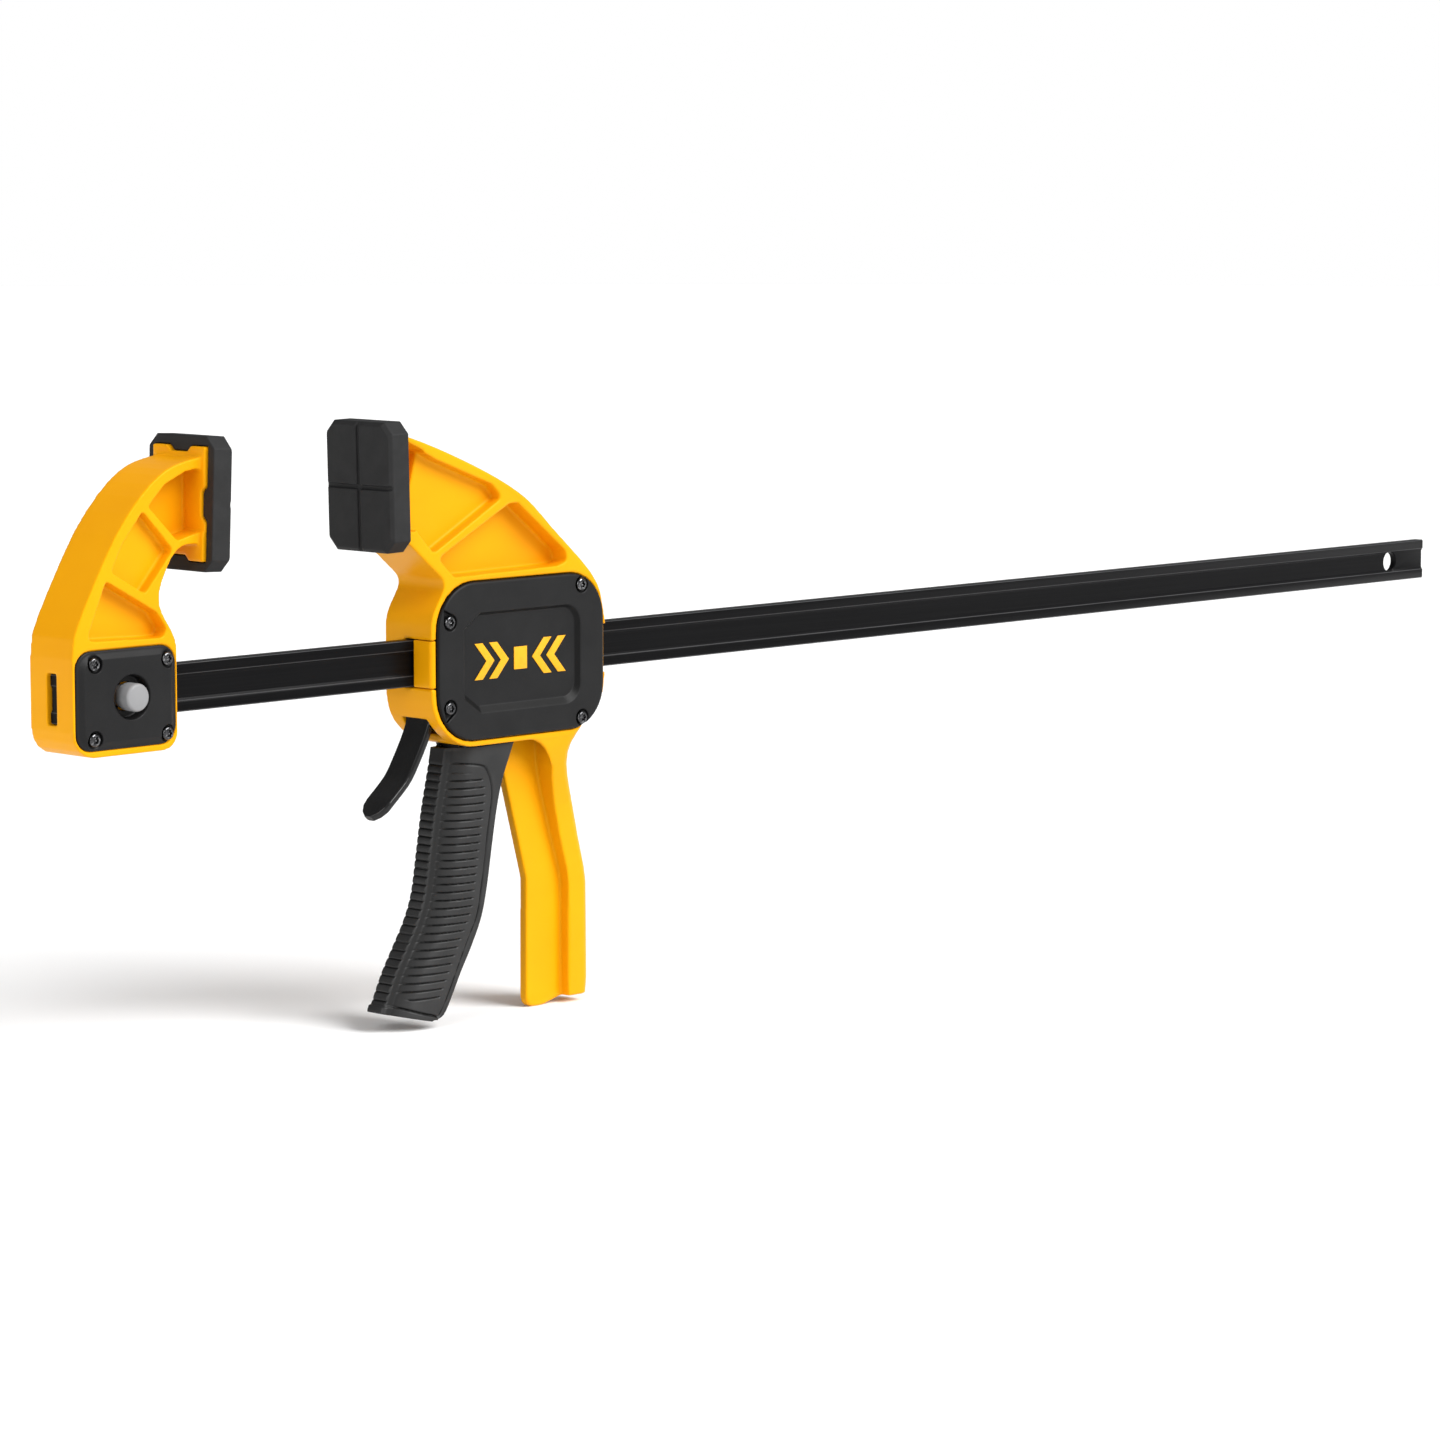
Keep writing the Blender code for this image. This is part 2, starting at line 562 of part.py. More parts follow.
def grip_ring(front, rear):
    """One section of the trigger: a nose widening to parallel sides, hollow and open behind."""
    start = Vector((front[0], 0, front[1]))
    depth = Vector((rear[0], 0, rear[1])) - start
    length = depth.length
    outer = ((0.0, 4.2), (1.0, 5.7), (5.0, 8.3), (10.0, 10.5), (15.0, 11.4), (length, 11.5))
    inner = ((length, 9.1), (14.5, 8.9), (10.5, 8.0), (6.0, 5.8), (2.8, 3.4))
    half = outer + inner
    loop = [(d, -y) for d, y in half] + [(d, y) for d, y in reversed(half)]
    along = depth.normalized()
    return [tuple(start + along * d + Vector((0, y, 0))) for d, y in loop]


def trigger(frame, finishes):
    """Squeeze trigger: a channel with two arms that straddle the bar and turn on the pin."""
    fronts = ((195.4, -35.8), (194.3, -41.4), (192.1, -50.9), (189.6, -62.2), (187.1, -77.0), (184.0, -94.4),
              (179.7, -105.4), (173.8, -115.3), (167.8, -125.2), (163.0, -135.2), (161.0, -139.8))
    rears = ((227.4, -35.2), (224.6, -41.5), (220.6, -51.0), (217.6, -62.5), (215.0, -76.5), (212.0, -93.5),
             (208.8, -105.5), (203.4, -116.5), (197.2, -127.0), (191.3, -138.0), (186.6, -145.6))
    made = loft("trigger_grip", [grip_ring(f, r) for f, r in zip(fronts, rears)], frame, finishes["grip"])
    arm = arc(*TRIGGER_PIVOT, 6.5, 0, 180, 8)
    arm += [(206.8, -8.0), (202.4, -28.0), (202.4, -35.0), (204.0, -37.5), (204.0, -46.0), (219.0, -46.0),
            (224.6, -37.0), (225.6, -31.0), (216.4, -22.5), (221.2, -13.6), (221.2, -11.4)]
    for side in (-1, 1):
        reach = sorted((side * 5.0, side * 9.5))
        join(made, prism(f"trigger_arm_{side}", arm, *reach, frame))
    cut(made, rod("trigger_bore", *TRIGGER_PIVOT, PIN_RADIUS + RUNNING_GAP, -15, 15, frame))
    return made


def drive_plates(frame, finishes):
    """Jam plates that grip the bar when the trigger pushes them."""
    for index in range(DRIVE_PLATES):
        start = DRIVE_PLATES_X + index * (DRIVE_PLATE + GAP)
        thick = (start, start + DRIVE_PLATE)
        made = box(f"drive_plate_{index + 1}", thick, (-10.0, 10.0), (-14.8, 14.8), frame,
                   finishes["steel"])
        cut(made, box(f"drive_plate_window_{index}", (start - 1, start + DRIVE_PLATE + 1),
                      (-SLOT_HALF_WIDTH, SLOT_HALF_WIDTH), (-SLOT_HALF_HEIGHT, SLOT_HALF_HEIGHT), frame))


def brake(frame, finishes):
    """Tilted brake plate, and the release lever moulded round its lower end."""
    x, z = BRAKE_PIVOT
    lean = math.radians(BRAKE_TILT)
    about_pivot = Matrix.Translation(Vector((x, 0, z)) * MM) @ Matrix.Rotation(lean, 4, "Y")

    def leaning(obj):
        obj.data.transform(about_pivot)
        return obj

    half = BRAKE_PLATE / 2
    foot = -34.0
    plate = leaning(box("brake_plate", (-half, half), (-7.0, 7.0), (foot, 3.0), frame, finishes["steel"]))
    window_half = SLOT_HALF_HEIGHT + 0.3
    window = box("brake_window_cut", (-3, 3), (-SLOT_HALF_WIDTH - 0.1, SLOT_HALF_WIDTH + 0.1),
                 (-z - window_half, -z + window_half), frame)
    cut(plate, leaning(window))
    spine = smooth([(187.6, -20.0), (186.0, -25.2), (183.6, -30.6), (179.6, -37.8), (174.5, -45.8),
                    (169.2, -51.0), (164.2, -55.3), LEVER_TIP], 3)
    rings = [spoon_ring(spine, index) for index in range(len(spine))]
    lever = loft("release_lever", rings, frame, finishes["grip"])
    across = (-LEVER_HALF_WIDTH, LEVER_HALF_WIDTH)
    join(lever, leaning(box("lever_block", (-4.4, 4.4), across, (-43.5, -30.2), frame)))
    slot = box("lever_plate_slot", (-half - GAP, half + GAP), (-8, 8), (foot - GAP, -20.0), frame)
    cut(lever, leaning(slot))
    return plate, lever


def spoon_ring(spine, index):
    """A rounded strip section of the lever, narrowing to a half-round end at the tip."""
    here = Vector(spine[index])
    along = Vector(spine[min(index + 1, len(spine) - 1)]) - Vector(spine[max(index - 1, 0)])
    across = Vector((-along.y, along.x)).normalized()
    from_tip = max((here - Vector(LEVER_TIP)).length, 0.35)
    reach = max(LEVER_HALF_WIDTH - from_tip, 0.0)
    half_width = math.sqrt(LEVER_HALF_WIDTH ** 2 - reach ** 2)
    half = LEVER_THICKNESS / 2
    soft = 0.7
    corners = [(-half, half_width - soft), (soft - half, half_width), (half - soft, half_width),
               (half, half_width - soft)]
    loop = corners + [(h, -w) for h, w in reversed(corners)]
    return [(here.x + across.x * h, w, here.y + across.y * h) for h, w in loop]


def main():
    clear_scene()
    finishes = make_materials()
    bar_line = empty("bar_line", 0.0, 0.0)
    head = empty("head", HEAD_FRONT_X, 0.0, bar_line)
    button_axis = empty("button_axis", BUTTON_X, 0.0, bar_line)
    trigger_pivot = empty("trigger_pivot", *TRIGGER_PIVOT, head)
    drive_carrier = empty("drive_carrier", DRIVE_PLATES_X, 0.0, head)
    brake_pivot = empty("brake_pivot", *BRAKE_PIVOT, head)

    bar(bar_line, finishes)
    fixed_jaw(bar_line, finishes)
    fixed_cover(bar_line, finishes)
    screws("fixed_cover_screw", FIXED_SCREWS, COVER_FACE, bar_line, finishes)
    pad("fixed_jaw_pad", FIXED_PAD_CENTRE, FIXED_TOE_IN, 1, bar_line, finishes["rubber"])
    button(button_axis, finishes)
    coil("button_spring", (BUTTON_X, 5.3, 0), "y", 3.0, 0.4, 6.0, 4, bar_line, finishes["steel"])

    head_body(head, finishes)
    head_cover(head, finishes)
    screws("head_cover_screw", HEAD_SCREWS, HEAD_COVER_FACE, head, finishes)
    badge(head, finishes)
    keepers(head, finishes)
    pad("moving_jaw_pad", MOVING_PAD_CENTRE, MOVING_TOE_IN, -1, head, finishes["rubber"])
    rod("trigger_pin", *TRIGGER_PIVOT, PIN_RADIUS, -12.2, 12.7, head, finishes["steel"])

    trigger(trigger_pivot, finishes)
    drive_plates(drive_carrier, finishes)
    spring_start = DRIVE_PLATES_X + DRIVE_PLATES * (DRIVE_PLATE + GAP)
    coil("drive_spring", (spring_start, 0, 0), "x", 10.75, 0.65, SPRING_END_X - spring_start, 7, head,
         finishes["steel"])
    brake(brake_pivot, finishes)
    brake_face_x = 195.1
    coil("brake_spring", (brake_face_x, 0, -14.2), "x", 2.6, 0.4, BRAKE_RIB_X - GAP - brake_face_x, 4, head,
         finishes["steel"])


main()
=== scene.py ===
import math

import bmesh
import bpy
import numpy as np
from mathutils import Matrix, Vector
from mathutils.bvhtree import BVHTree


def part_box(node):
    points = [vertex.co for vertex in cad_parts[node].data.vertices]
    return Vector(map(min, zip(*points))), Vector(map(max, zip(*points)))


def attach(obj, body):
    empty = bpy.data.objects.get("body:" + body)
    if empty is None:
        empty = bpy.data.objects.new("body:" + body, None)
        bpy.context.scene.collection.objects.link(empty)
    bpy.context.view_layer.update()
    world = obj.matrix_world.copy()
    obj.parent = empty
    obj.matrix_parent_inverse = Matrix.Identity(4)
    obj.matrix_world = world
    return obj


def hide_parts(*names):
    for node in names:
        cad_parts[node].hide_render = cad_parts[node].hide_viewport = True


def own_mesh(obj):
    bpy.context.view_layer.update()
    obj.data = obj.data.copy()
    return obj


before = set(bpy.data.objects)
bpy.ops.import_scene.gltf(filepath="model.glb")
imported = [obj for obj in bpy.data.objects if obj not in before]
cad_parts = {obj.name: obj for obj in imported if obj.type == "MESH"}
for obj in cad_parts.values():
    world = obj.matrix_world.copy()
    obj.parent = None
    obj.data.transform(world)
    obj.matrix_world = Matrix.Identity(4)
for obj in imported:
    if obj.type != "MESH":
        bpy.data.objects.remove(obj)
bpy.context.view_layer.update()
print("frame loaded")

# Lengths are in millimetres along the bar from the fixed jaw's end, and up from the bar's centre line.
mm = 0.001
jawLow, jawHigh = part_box("fixed_jaw")
barLow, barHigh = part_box("bar")
origin = Vector((jawLow.x, 0.0, (barLow.z + barHigh.z) / 2))


def toMm(point):
    return (Vector(point) - origin) / mm


class Flow:
    # one socket of a node tree: sums written on it become Math nodes
    def __init__(self, shading, socket):
        self.shading = shading
        self.socket = socket

    def __add__(self, other):
        return self.shading.math("ADD", self, other)

    __radd__ = __add__

    def __sub__(self, other):
        return self.shading.math("SUBTRACT", self, other)

    def __rsub__(self, other):
        return self.shading.math("SUBTRACT", other, self)

    def __mul__(self, other):
        return self.shading.math("MULTIPLY", self, other)

    __rmul__ = __mul__

    def __truediv__(self, other):
        return self.shading.math("DIVIDE", self, other)

    def __rtruediv__(self, other):
        return self.shading.math("DIVIDE", other, self)


class Shading:
    # the node tree of a material or a world
    def __init__(self, owner):
        owner.use_nodes = True
        self.tree = owner.node_tree
        self.tree.nodes.clear()

    def node(self, kind, settings=None, inputs=None, output=0):
        made = self.tree.nodes.new(kind)
        for key, value in (settings or {}).items():
            if key == "stops":
                for index, (position, level) in enumerate(value):
                    stops = made.color_ramp.elements
                    stop = stops[index] if index < 2 else stops.new(position)
                    stop.position = position
                    stop.color = (level, level, level, 1)
            else:
                setattr(made, key, value)
        for key, value in (inputs or {}).items():
            self.feed(made.inputs[key], value)
        return Flow(self, made.outputs[output]) if made.outputs else made

    def feed(self, socket, value):
        if isinstance(value, Flow):
            self.tree.links.new(value.socket, socket)
        else:
            socket.default_value = value

    def math(self, operation, *values):
        return self.node("ShaderNodeMath", {"operation": operation}, dict(enumerate(values)))


class Finish(Shading):
    # one material, with the patterns that the finishes share
    def __init__(self, name):
        self.material = bpy.data.materials.new(name)
        super().__init__(self.material)
        shaded = self.node("ShaderNodeBsdfPrincipled")
        self.shader = shaded.socket.node
        self.node("ShaderNodeOutputMaterial", None, {0: shaded})
        self.place = self.node("ShaderNodeTexCoord", output="Object")

    def colourMix(self, factor, first, second):
        inputs = {0: factor, 6: first, 7: second}
        return self.node("ShaderNodeMix", {"data_type": "RGBA"}, inputs, output=2)

    def stretched(self, scale):
        inputs = {0: self.place, 1: scale}
        return self.node("ShaderNodeVectorMath", {"operation": "MULTIPLY"}, inputs)

    def along(self, axis):
        return self.node("ShaderNodeSeparateXYZ", None, {0: self.place}, output=axis)

    def cloud(self, scale, detail=3.0, vector=None, roughness=0.5):
        inputs = {"Vector": vector or self.place, "Scale": scale, "Detail": detail, "Roughness": roughness}
        return self.node("ShaderNodeTexNoise", None, inputs)

    def cells(self, scale):
        return self.node("ShaderNodeTexVoronoi", {"feature": "F1"}, {"Vector": self.place, "Scale": scale})

    def ramp(self, value, *stops):
        return self.node("ShaderNodeValToRGB", {"stops": stops}, {0: value})

    def bump(self, height, strength, distance):
        inputs = {"Height": height, "Strength": strength, "Distance": distance}
        return self.node("ShaderNodeBump", None, inputs)

    def surface(self, **values):
        names = {"colour": "Base Color", "roughness": "Roughness", "metallic": "Metallic",
                 "normal": "Normal", "specular": "Specular IOR Level", "tint": "Specular Tint"}
        for key, value in values.items():
            self.feed(self.shader.inputs[names[key]], value)
        return self.material


def rgb(red, green, blue):
    return (red, green, blue, 1.0)


# Each finish has its colour, what it drifts to, its gloss, and the strength and height of its texture.
yellowLooks = {"colour": rgb(0.80, 0.352, 0.002), "deep": rgb(0.75, 0.305, 0.0015), "roughness": 0.34,
               "specular": 0.24, "sheen": rgb(1.0, 0.72, 0.22), "grain": 2600.0, "bump": (0.35, 0.000012)}


def yellowNylon():
    f = Finish("yellowNylon")
    drift = f.cloud(22.0, 2.0)  # slow change of shade across a moulding
    flow = f.cloud(9.0, 4.0, f.stretched((1.0, 1.0, 3.0)), 0.6)
    grain = f.cells(yellowLooks["grain"])
    speck = f.cloud(900.0, 2.0)
    shade = f.ramp(drift * 0.6 + flow * 0.4, (0.35, 0.0), (0.68, 1.0))
    colour = f.colourMix(shade, yellowLooks["colour"], yellowLooks["deep"])
    roughness = yellowLooks["roughness"] + speck * 0.1 - shade * 0.03
    return f.surface(colour=colour, roughness=roughness, specular=yellowLooks["specular"],
                     tint=yellowLooks["sheen"], normal=f.bump(grain + speck * 1.4, *yellowLooks["bump"]))


blackLooks = {"colour": rgb(0.0058, 0.0058, 0.0061), "dusty": rgb(0.0105, 0.0105, 0.0108),
              "roughness": 0.40, "specular": 0.19, "grain": 2300.0, "bump": (0.5, 0.00004)}
# painted shade on the sunk panel's sloped walls: a darker colour between these depths across the cover
panelWallShade = {"colour": rgb(0.0012, 0.0012, 0.0012), "between": (-14.8, -13.3)}


def blackNylon(name, wallShade=None):
    f = Finish(name)
    grain = f.cells(blackLooks["grain"])  # fine spark-eroded texture
    fine = f.cloud(3600.0, 2.0)
    drift = f.cloud(60.0, 4.0)
    shade = f.ramp(drift, (0.38, 0.0), (0.7, 1.0))
    colour = f.colourMix(shade * 0.6 + grain * 0.4, blackLooks["colour"], blackLooks["dusty"])
    if wallShade:  # painted shade: the sloped walls of the sunk panel get a darker colour
        outer, inner = wallShade["between"]
        across = f.along(1) / mm
        within = f.math("GREATER_THAN", across, outer) * f.math("LESS_THAN", across, inner)
        colour = f.colourMix(within, colour, wallShade["colour"])
    texture = f.bump(grain + fine * 0.7, *blackLooks["bump"])
    return f.surface(colour=colour, roughness=blackLooks["roughness"] + fine * 0.12,
                     specular=blackLooks["specular"], normal=texture)


# its darkest colour is painted shade for the grooves and the valley beside the front strip
gripLooks = {"colour": rgb(0.0115, 0.0115, 0.0117), "dusty": rgb(0.0195, 0.0195, 0.0197),
             "roughness": 0.40, "specular": 0.36, "recessShade": rgb(0.0015, 0.0015, 0.0015),
             "bump": (0.4, 0.00003)}


def gripNylon():
    f = Finish("gripNylon")
    fine = f.cloud(2800.0, 3.0)
    drift = f.cloud(70.0, 4.0)
    colour = f.colourMix(f.ramp(drift, (0.35, 0.0), (0.7, 1.0)), gripLooks["colour"], gripLooks["dusty"])
    recessShade = f.node("ShaderNodeAttribute", {"attribute_name": "recessShade"}, output=2)  # painted shade deep in the grooves and in the valley beside the front strip
    colour = f.colourMix(recessShade * 0.9, colour, gripLooks["recessShade"])
    return f.surface(colour=colour, roughness=gripLooks["roughness"] + fine * 0.14,
                     specular=gripLooks["specular"], normal=f.bump(fine, *gripLooks["bump"]))


padLooks = {"colour": rgb(0.0105, 0.0105, 0.0108), "dusty": rgb(0.0170, 0.0170, 0.0175),
            "roughness": 0.60, "specular": 0.28, "bump": (0.45, 0.00005)}


def padRubber():
    f = Finish("padRubber")
    fine = f.cloud(2200.0, 5.0, None, 0.7)
    bloom = f.cloud(120.0, 5.0, None, 0.65)  # faint powdery bloom
    colour = f.colourMix(f.ramp(bloom, (0.4, 0.0), (0.75, 1.0)), padLooks["colour"], padLooks["dusty"])
    return f.surface(colour=colour, roughness=padLooks["roughness"] + bloom * 0.12,
                     specular=padLooks["specular"], normal=f.bump(fine, *padLooks["bump"]))


# its lighter lines along the flanges' edges are painted highlights
barLooks = {"colour": rgb(0.0022, 0.0022, 0.0025), "worn": rgb(0.0065, 0.0065, 0.0070), "roughness": 0.24,
            "specular": 0.07, "bump": (0.25, 0.00002), "glintLine": rgb(0.055, 0.055, 0.057),
            "glintLineHeights": (5.15, 9.15), "glintLineReach": 0.17}


def blackBar():
    f = Finish("blackBar")
    drawn = f.cloud(1.0, 4.0, f.stretched((14.0, 2600.0, 2600.0)), 0.6)  # drawing lines along the bar
    drift = f.cloud(35.0, 3.0)
    streak = f.ramp(drawn, (0.42, 0.0), (0.72, 1.0))
    colour = f.colourMix(streak * 0.5 + drift * 0.2, barLooks["colour"], barLooks["worn"])
    away = f.math("ABSOLUTE", f.along(2) - origin.z) / mm
    for height in barLooks["glintLineHeights"]:  # painted highlight: thin lighter lines along the flanges' edges
        offLine = f.math("ABSOLUTE", away - height)
        glintLine = f.math("LESS_THAN", offLine, barLooks["glintLineReach"]) * (0.45 + drift)
        colour = f.colourMix(glintLine, colour, barLooks["glintLine"])
    roughness = barLooks["roughness"] + drawn * 0.1 + drift * 0.05
    return f.surface(colour=colour, roughness=roughness, specular=barLooks["specular"],
                     normal=f.bump(drawn, *barLooks["bump"]))


leverLooks = {"colour": rgb(0.0050, 0.0050, 0.0052), "dull": rgb(0.0085, 0.0085, 0.0087),
              "roughness": 0.13, "specular": 0.34, "bump": (0.2, 0.00001)}


def glossyLever():
    f = Finish("glossyLever")
    fine = f.cloud(1500.0, 2.0)
    smear = f.cloud(130.0, 4.0)
    colour = f.colourMix(smear, leverLooks["colour"], leverLooks["dull"])
    return f.surface(colour=colour, roughness=leverLooks["roughness"] + smear * 0.08,
                     specular=leverLooks["specular"], normal=f.bump(fine, *leverLooks["bump"]))


buttonLooks = {"colour": rgb(0.215, 0.215, 0.22), "light": rgb(0.25, 0.25, 0.255), "roughness": 0.42,
               "specular": 0.4, "bump": (0.35, 0.00002)}


def greyButton():
    f = Finish("greyButton")
    fine = f.cloud(2600.0, 3.0)
    drift = f.cloud(150.0, 3.0)
    colour = f.colourMix(drift, buttonLooks["colour"], buttonLooks["light"])
    return f.surface(colour=colour, roughness=buttonLooks["roughness"] + fine * 0.1,
                     specular=buttonLooks["specular"], normal=f.bump(fine, *buttonLooks["bump"]))


screwLooks = {"colour": rgb(0.065, 0.065, 0.068), "bright": rgb(0.36, 0.36, 0.365), "roughness": 0.08,
              "bump": (0.3, 0.00002)}


def blackScrew():
    f = Finish("blackScrew")
    fine = f.cloud(1800.0, 3.0)
    wear = f.ramp(f.cloud(700.0, 4.0), (0.5, 0.0), (0.75, 1.0))
    colour = f.colourMix(wear, screwLooks["colour"], screwLooks["bright"])
    return f.surface(colour=colour, roughness=screwLooks["roughness"] + fine * 0.08, metallic=1.0,
                     normal=f.bump(fine, *screwLooks["bump"]))


steelLooks = {"colour": rgb(0.42, 0.42, 0.43), "bright": rgb(0.58, 0.58, 0.59), "roughness": 0.3,
              "bump": (0.3, 0.00002)}


def brightSteel():
    f = Finish("brightSteel")
    brushed = f.cloud(1.0, 4.0, f.stretched((900.0, 900.0, 40.0)), 0.6)
    colour = f.colourMix(brushed, steelLooks["colour"], steelLooks["bright"])
    return f.surface(colour=colour, roughness=steelLooks["roughness"] + brushed * 0.15, metallic=1.0,
                     normal=f.bump(brushed, *steelLooks["bump"]))


emblemLooks = {"colour": rgb(0.78, 0.37, 0.006), "faded": rgb(0.66, 0.30, 0.005), "roughness": 0.4,
               "specular": 0.3, "bump": (0.3, 0.00001)}


def emblemPrint():
    f = Finish("emblemPrint")
    fine = f.cloud(1600.0, 3.0)
    worn = f.ramp(f.cloud(300.0, 5.0), (0.5, 0.0), (0.8, 1.0))
    colour = f.colourMix(worn, emblemLooks["colour"], emblemLooks["faded"])
    return f.surface(colour=colour, roughness=emblemLooks["roughness"] + fine * 0.1,
                     specular=emblemLooks["specular"], normal=f.bump(fine, *emblemLooks["bump"]))


floorLooks = {"colour": rgb(0.92, 0.92, 0.92), "light": rgb(0.94, 0.94, 0.94), "roughness": 0.9,
              "specular": 0.1}


def paleFloor():
    f = Finish("paleFloor")
    drift = f.cloud(1.5, 3.0)
    colour = f.colourMix(drift, floorLooks["colour"], floorLooks["light"])
    return f.surface(colour=colour, roughness=floorLooks["roughness"], specular=floorLooks["specular"])


finishes = {
    "yellow": yellowNylon(), "cover": blackNylon("blackNylon"),
    "panel": blackNylon("panelNylon", panelWallShade), "grip": gripNylon(), "pad": padRubber(),
    "bar": blackBar(), "lever": glossyLever(), "button": greyButton(), "screw": blackScrew(),
    "steel": brightSteel(), "emblem": emblemPrint(), "floor": paleFloor(),
}
print("finishes made")


def linked(name, data):
    made = bpy.data.objects.new(name, data)
    bpy.context.scene.collection.objects.link(made)
    return made


def objectFrom(mesh, name, finish=None):
    # a bmesh in millimetres becomes an object in the frame
    bmesh.ops.recalc_face_normals(mesh, faces=mesh.faces)
    toFrame = Matrix.Translation(origin) @ Matrix.Diagonal((mm, mm, mm, 1))
    bmesh.ops.transform(mesh, matrix=toFrame, verts=mesh.verts)
    data = bpy.data.meshes.new(name)
    mesh.to_mesh(data)
    mesh.free()
    if finish:
        data.materials.append(finishes[finish])
    return linked(name, data)


def shadeRound(obj, angle=35):
    obj.data.shade_smooth()
    obj.data.set_sharp_from_angle(angle=math.radians(angle))
    return obj


def loft(rings, name, finish=None):
    # a solid through closed rings of points, capped at both ends
    mesh = bmesh.new()
    loops = [[mesh.verts.new(point) for point in ring] for ring in rings]
    count = len(loops[0])
    for lower, upper in zip(loops, loops[1:]):
        for index in range(count):
            after = (index + 1) % count
            mesh.faces.new((lower[index], lower[after], upper[after], upper[index]))
    mesh.faces.new(loops[0])
    mesh.faces.new(loops[-1])
    return objectFrom(mesh, name, finish)


def turned(profile, x, z, name, finish=None, sides=48):
    # rings of (radius, y) about an axis across the clamp
    rings = []
    for radius, y in profile:
        ring = []
        for side in range(sides):
            turn = math.tau * side / sides
            ring.append((x + radius * math.cos(turn), y, z + radius * math.sin(turn)))
        rings.append(ring)
    return loft(rings, name, finish)


def modified(obj, *changes):
    # adds the modifiers and takes the mesh as they leave it
    for kind, settings in changes:
        modifier = obj.modifiers.new(kind.lower(), kind)
        for key, value in settings.items():
            setattr(modifier, key, value)
    graph = bpy.context.evaluated_depsgraph_get()
    data = bpy.data.meshes.new_from_object(obj.evaluated_get(graph))
    obj.modifiers.clear()
    obj.data = data
    return obj


def combined(obj, operation, others):
    settings = {"operation": operation, "solver": "EXACT"}
    modified(obj, *[("BOOLEAN", {**settings, "object": other}) for other in others])
    for other in others:
        bpy.data.objects.remove(other)
    return obj


def cutBy(obj, *cutters):
    return combined(obj, "DIFFERENCE", cutters)


def joinedTo(obj, *others):
    return combined(obj, "UNION", others)


def bevelled(obj, width):
    return modified(obj, ("BEVEL", {"width": width * mm, "segments": 2, "limit_method": "ANGLE"}))


def copyOf(node, name):
    return linked(name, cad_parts[node].data.copy())


def pointsOf(data):
    at = np.empty(len(data.vertices) * 3)
    data.vertices.foreach_get("co", at)
    return (at.reshape(-1, 3) - np.array(origin)) / mm


def placePoints(data, at):
    data.vertices.foreach_set("co", (at * mm + np.array(origin)).astype(np.float32).ravel())
    data.update()


def moulded(obj, looks, finish, edges=None):
    # evens out the mesh, then rounds its edges and fills its corners as a moulding has them
    modified(obj, ("REMESH", {"mode": "VOXEL", "voxel_size": looks["grid"] * mm}))
    if edges:
        filleted(obj, edges, looks["half"], looks["fillet"])
    modified(obj, ("SMOOTH", {"factor": 0.5, "iterations": looks["rounds"]}))
    triangles = 2 * len(obj.data.polygons)
    if triangles > looks["faces"]:
        modified(obj, ("DECIMATE", {"ratio": looks["faces"] / triangles}))
    obj.data.shade_smooth()
    obj.data.materials.clear()
    obj.data.materials.append(finishes[finish])
    return obj


# How flat a side is, how upright a wall is, how near its plane an edge is, and how far out to look.
edgeSearch = {"flat": 0.95, "wall": 0.4, "offPlane": 0.06, "beside": 0.4}


def outerEdges(obj, half, openings):
    # the outline edges of a moulding's two flat sides: where each starts and ends, and which way is out
    mesh = bmesh.new()
    mesh.from_mesh(obj.data)
    toOwn = Matrix.Scale(1 / mm, 4) @ Matrix.Translation(-origin)
    bmesh.ops.transform(mesh, matrix=toOwn, verts=mesh.verts)
    mesh.normal_update()
    tree = BVHTree.FromBMesh(mesh)
    found = {-1: [], 1: []}
    for edge in mesh.edges:
        if len(edge.link_faces) != 2:
            continue
        flat, wall = sorted(edge.link_faces, key=lambda face: -abs(face.normal.y))
        if abs(flat.normal.y) < edgeSearch["flat"] or abs(wall.normal.y) > edgeSearch["wall"]:
            continue
        middle = (edge.verts[0].co + edge.verts[1].co) / 2
        if abs(abs(middle.y) - half) > edgeSearch["offPlane"]:
            continue
        out = Vector((wall.normal.x, 0, wall.normal.z)).normalized()
        beside = Vector((middle.x, 0, middle.z)) + out * edgeSearch["beside"]
        where, normal, _, _ = tree.find_nearest(beside)
        if (beside - where).dot(normal) < 0 or any(opening(middle, out) for opening in openings):
            continue
        start, end = edge.verts[0].co, edge.verts[1].co
        found[1 if middle.y > 0 else -1].append((start.x, start.z, end.x, end.z, out.x, out.z))
    mesh.free()
    return {side: np.array(edges) for side, edges in found.items()}


farAway = 1e9


def awayFromRun(points, start, end):
    # shortest distance in the side view from each point to one straight run
    run = end - start
    t = np.clip(((points - start) @ run) / max(run @ run, 1e-9), 0, 1)
    return np.linalg.norm(points - (start + t[:, None] * run), axis=1)


def awayFromLine(points, line):
    best = np.full(len(points), farAway)
    for start, end in zip(line[:-1], line[1:]):
        best = np.minimum(best, awayFromRun(points, start, end))
    return best


